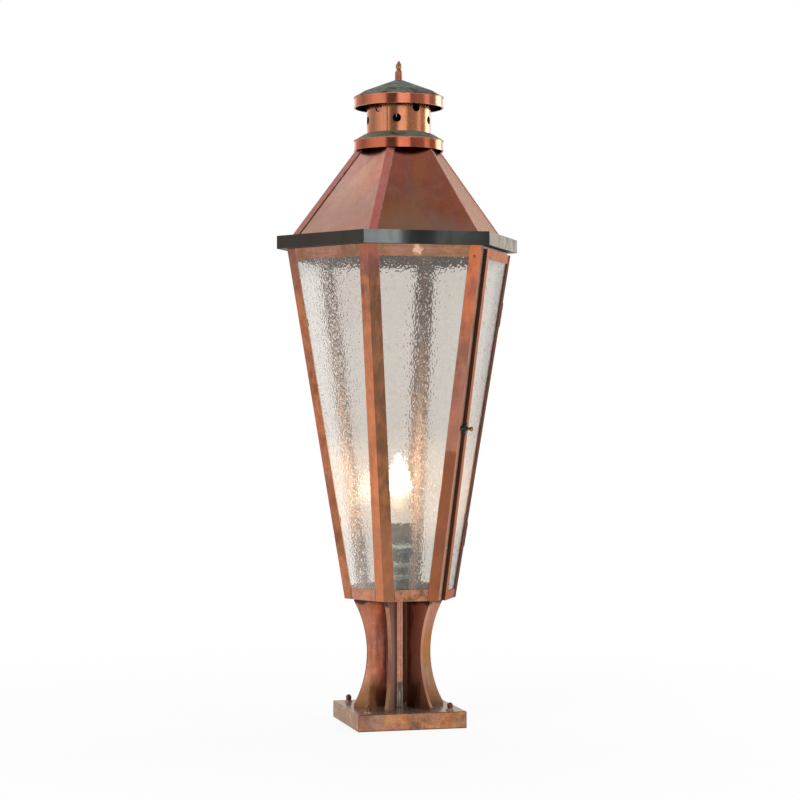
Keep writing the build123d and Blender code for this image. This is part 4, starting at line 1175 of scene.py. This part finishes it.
class Side:
    """A sloping side: x runs along it from its middle, rise up the slope and off outwards."""

    def __init__(self, index, foot_radius, foot_z, head_radius, head_z):
        first, second = level_way(60 * index), level_way(60 * index + 60)
        self.foot = (first + second) * foot_radius / 2 + Vector((0, 0, foot_z))
        slope = (first + second) * head_radius / 2 + Vector((0, 0, head_z)) - self.foot
        self.along = (second - first).normalized()
        self.up = slope.normalized()
        self.out = self.along.cross(self.up)
        self.length = slope.length
        self.foot_half = foot_radius / 2
        self.widening = (head_radius - foot_radius) / 2 / slope.length

    def half(self, rise):
        return self.foot_half + self.widening * rise

    def at(self, x, rise, off):
        return self.foot + self.along * x + self.up * rise + self.out * off


BODY_RADII = (0.0688, 0.1410)
ROOF_RADII = (0.1341, 0.0536)
ROOF_TOP = 0.7072
BODY_SIDES = [Side(k, BODY_RADII[0], FOOT_Z, BODY_RADII[1], HEAD_Z) for k in range(6)]
ROOF_SIDES = [Side(k, ROOF_RADII[0], EAVE_Z, ROOF_RADII[1], ROOF_TOP) for k in range(6)]
front_side, door_side, hinge_side = BODY_SIDES[4], BODY_SIDES[5], BODY_SIDES[0]
print("front side leans", round(math.degrees(math.asin(-front_side.out.z)), 2), "degrees")

# %% [markdown]
# ## Growing pieces with Geometry Nodes
# Rivets, solder and the bubbles in the glass all repeat, or follow a line or a surface. Each is a
# small Geometry Nodes tree with named sizes. The helper puts the tree on a mesh of points, lines
# or faces, sets its inputs, turns the result into a plain mesh and hands it to a body.


# %% Geometry Nodes helper
def new_growth(name, *sizes):
    """Geometry Nodes tree that takes a geometry, named sizes and a paint."""
    takes = dict.fromkeys(["Geometry", *sizes, "Paint"])
    return new_group(name, takes, ["Geometry"], "GeometryNodeTree")


def end_growth(recipe, given, shape):
    """The end that all trees share: real meshes, smooth and painted."""
    solid = recipe.wire("GeometryNodeRealizeInstances", {0: shape})
    smooth = recipe.wire("GeometryNodeSetShadeSmooth", {0: solid})
    feeds = {"Geometry": smooth, "Material": given["Paint"]}
    recipe.add("NodeGroupOutput", {0: recipe.wire("GeometryNodeSetMaterial", feeds)})


def grow(name, recipe, start, values, body):
    """Runs a tree on a starting mesh and keeps the result as a piece of a body."""
    seed = bpy.data.objects.new(name + "_start", start)
    bpy.context.scene.collection.objects.link(seed)
    grower = seed.modifiers.new("grow", "NODES")
    grower.node_group = recipe.tree
    for item in recipe.tree.interface.items_tree:
        if item.in_out == "INPUT" and item.name in values:
            grower[item.identifier] = values[item.name]
    bpy.context.view_layer.update()
    grown = seed.evaluated_get(bpy.context.evaluated_depsgraph_get())
    mesh = bpy.data.meshes.new_from_object(grown)
    seed.modifiers.remove(grower)
    bpy.data.objects.remove(seed)
    mesh.name = name
    piece = bpy.data.objects.new(name, mesh)
    bpy.context.scene.collection.objects.link(piece)
    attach(piece, body)
    print(name, "faces", len(mesh.polygons), "on", body)


def mesh_of(name, points, edges=(), faces=()):
    mesh = bpy.data.meshes.new(name)
    mesh.from_pydata(points, edges, faces)
    return mesh


print("growth helper ready")

# %% [markdown]
# The seeds are small bubbles that rise while the glass cools, so they are longer than wide. Here
# they stand as tiny lenses on the outer face of each pane, scattered by density and a fixed seed.

# %% Seeds in the panes
SCATTER_SEED, SIZE_SEED = 11, 5
SMALLEST, LARGEST = (0.5, 0.5, 0.7), (1.0, 1.0, 2.4)

bubbles, given = new_growth("pane_seeds", "Per Square Metre", "Size")
feeds = {"Mesh": given["Geometry"], "Density": given["Per Square Metre"], "Seed": SCATTER_SEED}
dots = bubbles.wire("GeometryNodeDistributePointsOnFaces", feeds)
lens = bubbles.wire("GeometryNodeMeshIcoSphere", {"Radius": given["Size"], "Subdivisions": 2})
feeds = {0: SMALLEST, 1: LARGEST, "Seed": SIZE_SEED}
sizes = bubbles.wire("FunctionNodeRandomValue", feeds, data_type="FLOAT_VECTOR")
feeds = {"Points": dots, "Instance": lens, "Scale": sizes}
end_growth(bubbles, given, bubbles.wire("GeometryNodeInstanceOnPoints", feeds))

seed_glass = Finish("seed_glass", IOR=GLASS_IOR, Transmission_Weight=1.0)
cloudy = seed_glass.place().noise(500).spread(0.2, 0.8, 0.02, 0.12)
seed_glass.coat(Base_Color=(0.93, 0.92, 0.9), Roughness=cloudy)


def outer_faces(name, panes_and_sides):
    """Copies the outward faces of panes into one mesh for the seeds to grow on."""
    points, faces = [], []
    for pane, side in panes_and_sides:
        glass = lantern_parts[pane].data
        for flat in glass.polygons:
            if flat.normal.dot(side.out) > 0.99:
                faces.append(range(len(points), len(points) + len(flat.vertices)))
                points.extend(glass.vertices[v].co.copy() for v in flat.vertices)
    return mesh_of(name, points, (), faces)


SEED_VALUES = {"Per Square Metre": 2600.0, "Size": 0.00075, "Paint": seed_glass.paint}
fixed_faces = outer_faces("fixed_faces", zip(PANES, BODY_SIDES))
door_face = outer_faces("door_face", [("door_pane", door_side)])
grow("pane_seeds", bubbles, fixed_faces, SEED_VALUES, "lantern")
grow("door_seeds", bubbles, door_face, SEED_VALUES, "door")

# %% [markdown]
# Solder runs as a fine bright bead along the edge of each hip strip. The tree turns lines into
# tubes and then pushes the skin in and out with noise, so that the bead swells and thins as a
# hand-run joint does.

# %% Solder beads
BEAD_STEP = 0.0022
STRIP_WIDTH = 0.010
STRIP_MIDDLE = 0.0007

beading, given = new_growth("solder_bead", "Thickness", "Unevenness")
line = beading.wire("GeometryNodeMeshToCurve", {0: given["Geometry"]})
feeds = {"Curve": line, "Length": BEAD_STEP}
steps = beading.wire("GeometryNodeResampleCurve", feeds, mode="LENGTH")
feeds = {"Resolution": 7, "Radius": given["Thickness"]}
section = beading.wire("GeometryNodeCurvePrimitiveCircle", feeds)
feeds = {"Curve": steps, "Profile Curve": section, "Fill Caps": True}
skin = beading.wire("GeometryNodeCurveToMesh", feeds)
lumpy = beading.wire("ShaderNodeTexNoise", {"Scale": 170.0, "Detail": 2.0})
swing = (lumpy - 0.5) * given["Unevenness"]
feeds = {0: beading.wire("GeometryNodeInputNormal"), "Scale": swing}
push = beading.wire("ShaderNodeVectorMath", feeds, operation="SCALE")
moved = beading.wire("GeometryNodeSetPosition", {"Geometry": skin, "Offset": push})
end_growth(beading, given, moved)


def grow_beads(name, points, thickness, unevenness, paint):
    """One bead of solder from each point of a pair to the other."""
    lines = mesh_of(name + "_lines", points, [(i, i + 1) for i in range(0, len(points), 2)])
    values = {"Thickness": thickness, "Unevenness": unevenness, "Paint": paint}
    grow(name, beading, lines, values, "lantern")


solder_paint = small_metal("old_solder", [], (0.55, 0.4, 0.32), (0.36, 0.22, 0.17), 0.36, 90.0)
strip_points = [
    side.at(STRIP_WIDTH - side.half(rise) + 0.0001, rise, STRIP_MIDDLE)
    for side in ROOF_SIDES for rise in (0.0015, side.length - 0.004)
]
grow_beads("hip_solder", strip_points, 0.0006, 0.0007, solder_paint)

# %% [markdown]
# Two more uses of the same tree: the dark line of flux where each bottom rail butts against a post,
# and the lock seam that closes the chimney's sheet into a pipe, a little to the left of its front.

# %% Butt joints and chimney seam
POST_LEG = 0.014
RAIL_HEIGHT = 0.014
CHIMNEY_SPAN = (0.7292, 0.7640)
SEAM_TURN = VIEW_ANGLE - math.radians(21)

flux_paint = plain_body("flux_line", [], (0.03, 0.022, 0.018), (0.055, 0.035, 0.026),
                        300.0, 0.45, 0.65)
joint_points = [
    side.at(end * (side.half(rise) - POST_LEG), rise, -0.0001)
    for side in BODY_SIDES for end in (-1, 1) for rise in (0.0006, RAIL_HEIGHT)
]
grow_beads("flux_lines", joint_points, 0.00035, 0.0003, flux_paint)
seam_out = Vector((math.sin(SEAM_TURN), -math.cos(SEAM_TURN), 0)) * CHIMNEY_RADIUS
seam_points = [seam_out + Vector((0, 0, z)) for z in CHIMNEY_SPAN]
grow_beads("chimney_seam", seam_points, 0.0007, 0.0002, finial_copper)

# %% [markdown]
# A rivet is a low dome. Copies could be placed by hand, but a tree keeps all heads alike and takes
# new sizes. It sets a dome on each point of a mesh and turns it to the direction stored with that
# point.

# %% Rivet tree
riveting, given = new_growth("rivets", "Head", "Rise")
feeds = {"Name": "facing"}
facing = riveting.wire("GeometryNodeInputNamedAttribute", feeds, data_type="FLOAT_VECTOR")
turned = riveting.wire("FunctionNodeAlignRotationToVector", {"Vector": facing}, axis="Z")
dome = riveting.wire("GeometryNodeMeshUVSphere", {"Segments": 14, "Rings": 8, "Radius": 1.0})
feeds = {0: given["Head"], 1: given["Head"], 2: given["Rise"]}
size = riveting.wire("ShaderNodeCombineXYZ", feeds)
feeds = {"Points": given["Geometry"], "Instance": dome, "Rotation": turned, "Scale": size}
end_growth(riveting, given, riveting.wire("GeometryNodeInstanceOnPoints", feeds))


def grow_rivets(name, places, head, rise, paint):
    """A rivet at each place, which is a point and the direction that the rivet faces."""
    mesh = mesh_of(name + "_places", [spot for spot, _ in places])
    way = mesh.attributes.new("facing", "FLOAT_VECTOR", "POINT")
    for item, (_, out) in zip(way.data, places):
        item.vector = out
    grow(name, riveting, mesh, {"Head": head, "Rise": rise, "Paint": paint}, "lantern")


print("rivet tree ready")

# %% [markdown]
# A row of small rivets holds each hinge leaf to its post, and one round-headed rivet shows on the
# front of the post beside the door. Bigger ones plug the upper left hole of the chimney and the
# one behind it.

# %% Rivets and plugs
LEAF_FACE = 0.0009
LEAF_ROW = 0.0072
LEAF_SHARES = (0.18, 0.82)
RIVET_STEPS = (-0.010, 0.0, 0.010)
PLUG_TURNS = (-143.8, 72.2)
PLUG_DEPTH = 0.0018
PLUG_Z = 0.7579
POST_RIVET_IN, POST_RIVET_DOWN = 0.0075, 0.0135

rises = [share * hinge_side.length + step for share in LEAF_SHARES for step in RIVET_STEPS]
hinge_places = [
    (hinge_side.at(LEAF_ROW - hinge_side.half(rise), rise, LEAF_FACE), hinge_side.out)
    for rise in rises
]
grow_rivets("hinge_rivets", hinge_places, 0.0016, 0.0008, ball_paint)
plug_ways = [level_way(turn) for turn in PLUG_TURNS]
plug_radius = CHIMNEY_RADIUS - PLUG_DEPTH
plug_places = [(way * plug_radius + Vector((0, 0, PLUG_Z)), way) for way in plug_ways]
grow_rivets("vent_plugs", plug_places, 0.0049, 0.0013, finial_copper)
rise = front_side.length - POST_RIVET_DOWN
post_place = (front_side.at(front_side.half(rise) - POST_RIVET_IN, rise, 0.0), front_side.out)
grow_rivets("post_rivet", [post_place], 0.0019, 0.0007, post_copper)

# %% [markdown]
# A small drop of solder, now green, hangs on the corner post beside the door near the bottom. A
# ball pulled longer and flattened against the sheet is enough for a thing this small.

# %% Solder drop
DROP_IN, DROP_RISE, DROP_OFF = 0.0036, 0.066, 0.0004
DROP_SIZES = (0.0015, 0.0022, 0.0016)
DROP_SAG = 0.25

drop_paint = plain_body("green_solder", [], (0.3, 0.38, 0.33), (0.45, 0.5, 0.44), 400.0, 0.35, 0.55)
drop_spot = door_side.at(DROP_IN - door_side.half(DROP_RISE), DROP_RISE, DROP_OFF)
wide, tall, thick = DROP_SIZES
ball = bmesh.new()
bmesh.ops.create_icosphere(ball, subdivisions=3, radius=1.0)
for corner in ball.verts:
    x, y, z = corner.co
    sag = 1.0 - DROP_SAG * y
    level_part = door_side.along * x * wide * sag + door_side.out * z * thick * sag
    corner.co = drop_spot + door_side.up * y * tall + level_part
for flat in ball.faces:
    flat.smooth = True
bmesh.ops.recalc_face_normals(ball, faces=ball.faces)
drop_mesh = bpy.data.meshes.new("solder_drop")
ball.to_mesh(drop_mesh)
ball.free()
drop_mesh.materials.append(drop_paint)
drop = bpy.data.objects.new("solder_drop", drop_mesh)
bpy.context.scene.collection.objects.link(drop)
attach(drop, "lantern")
print("drop at", [round(c, 4) for c in drop_spot])

# %% [markdown]
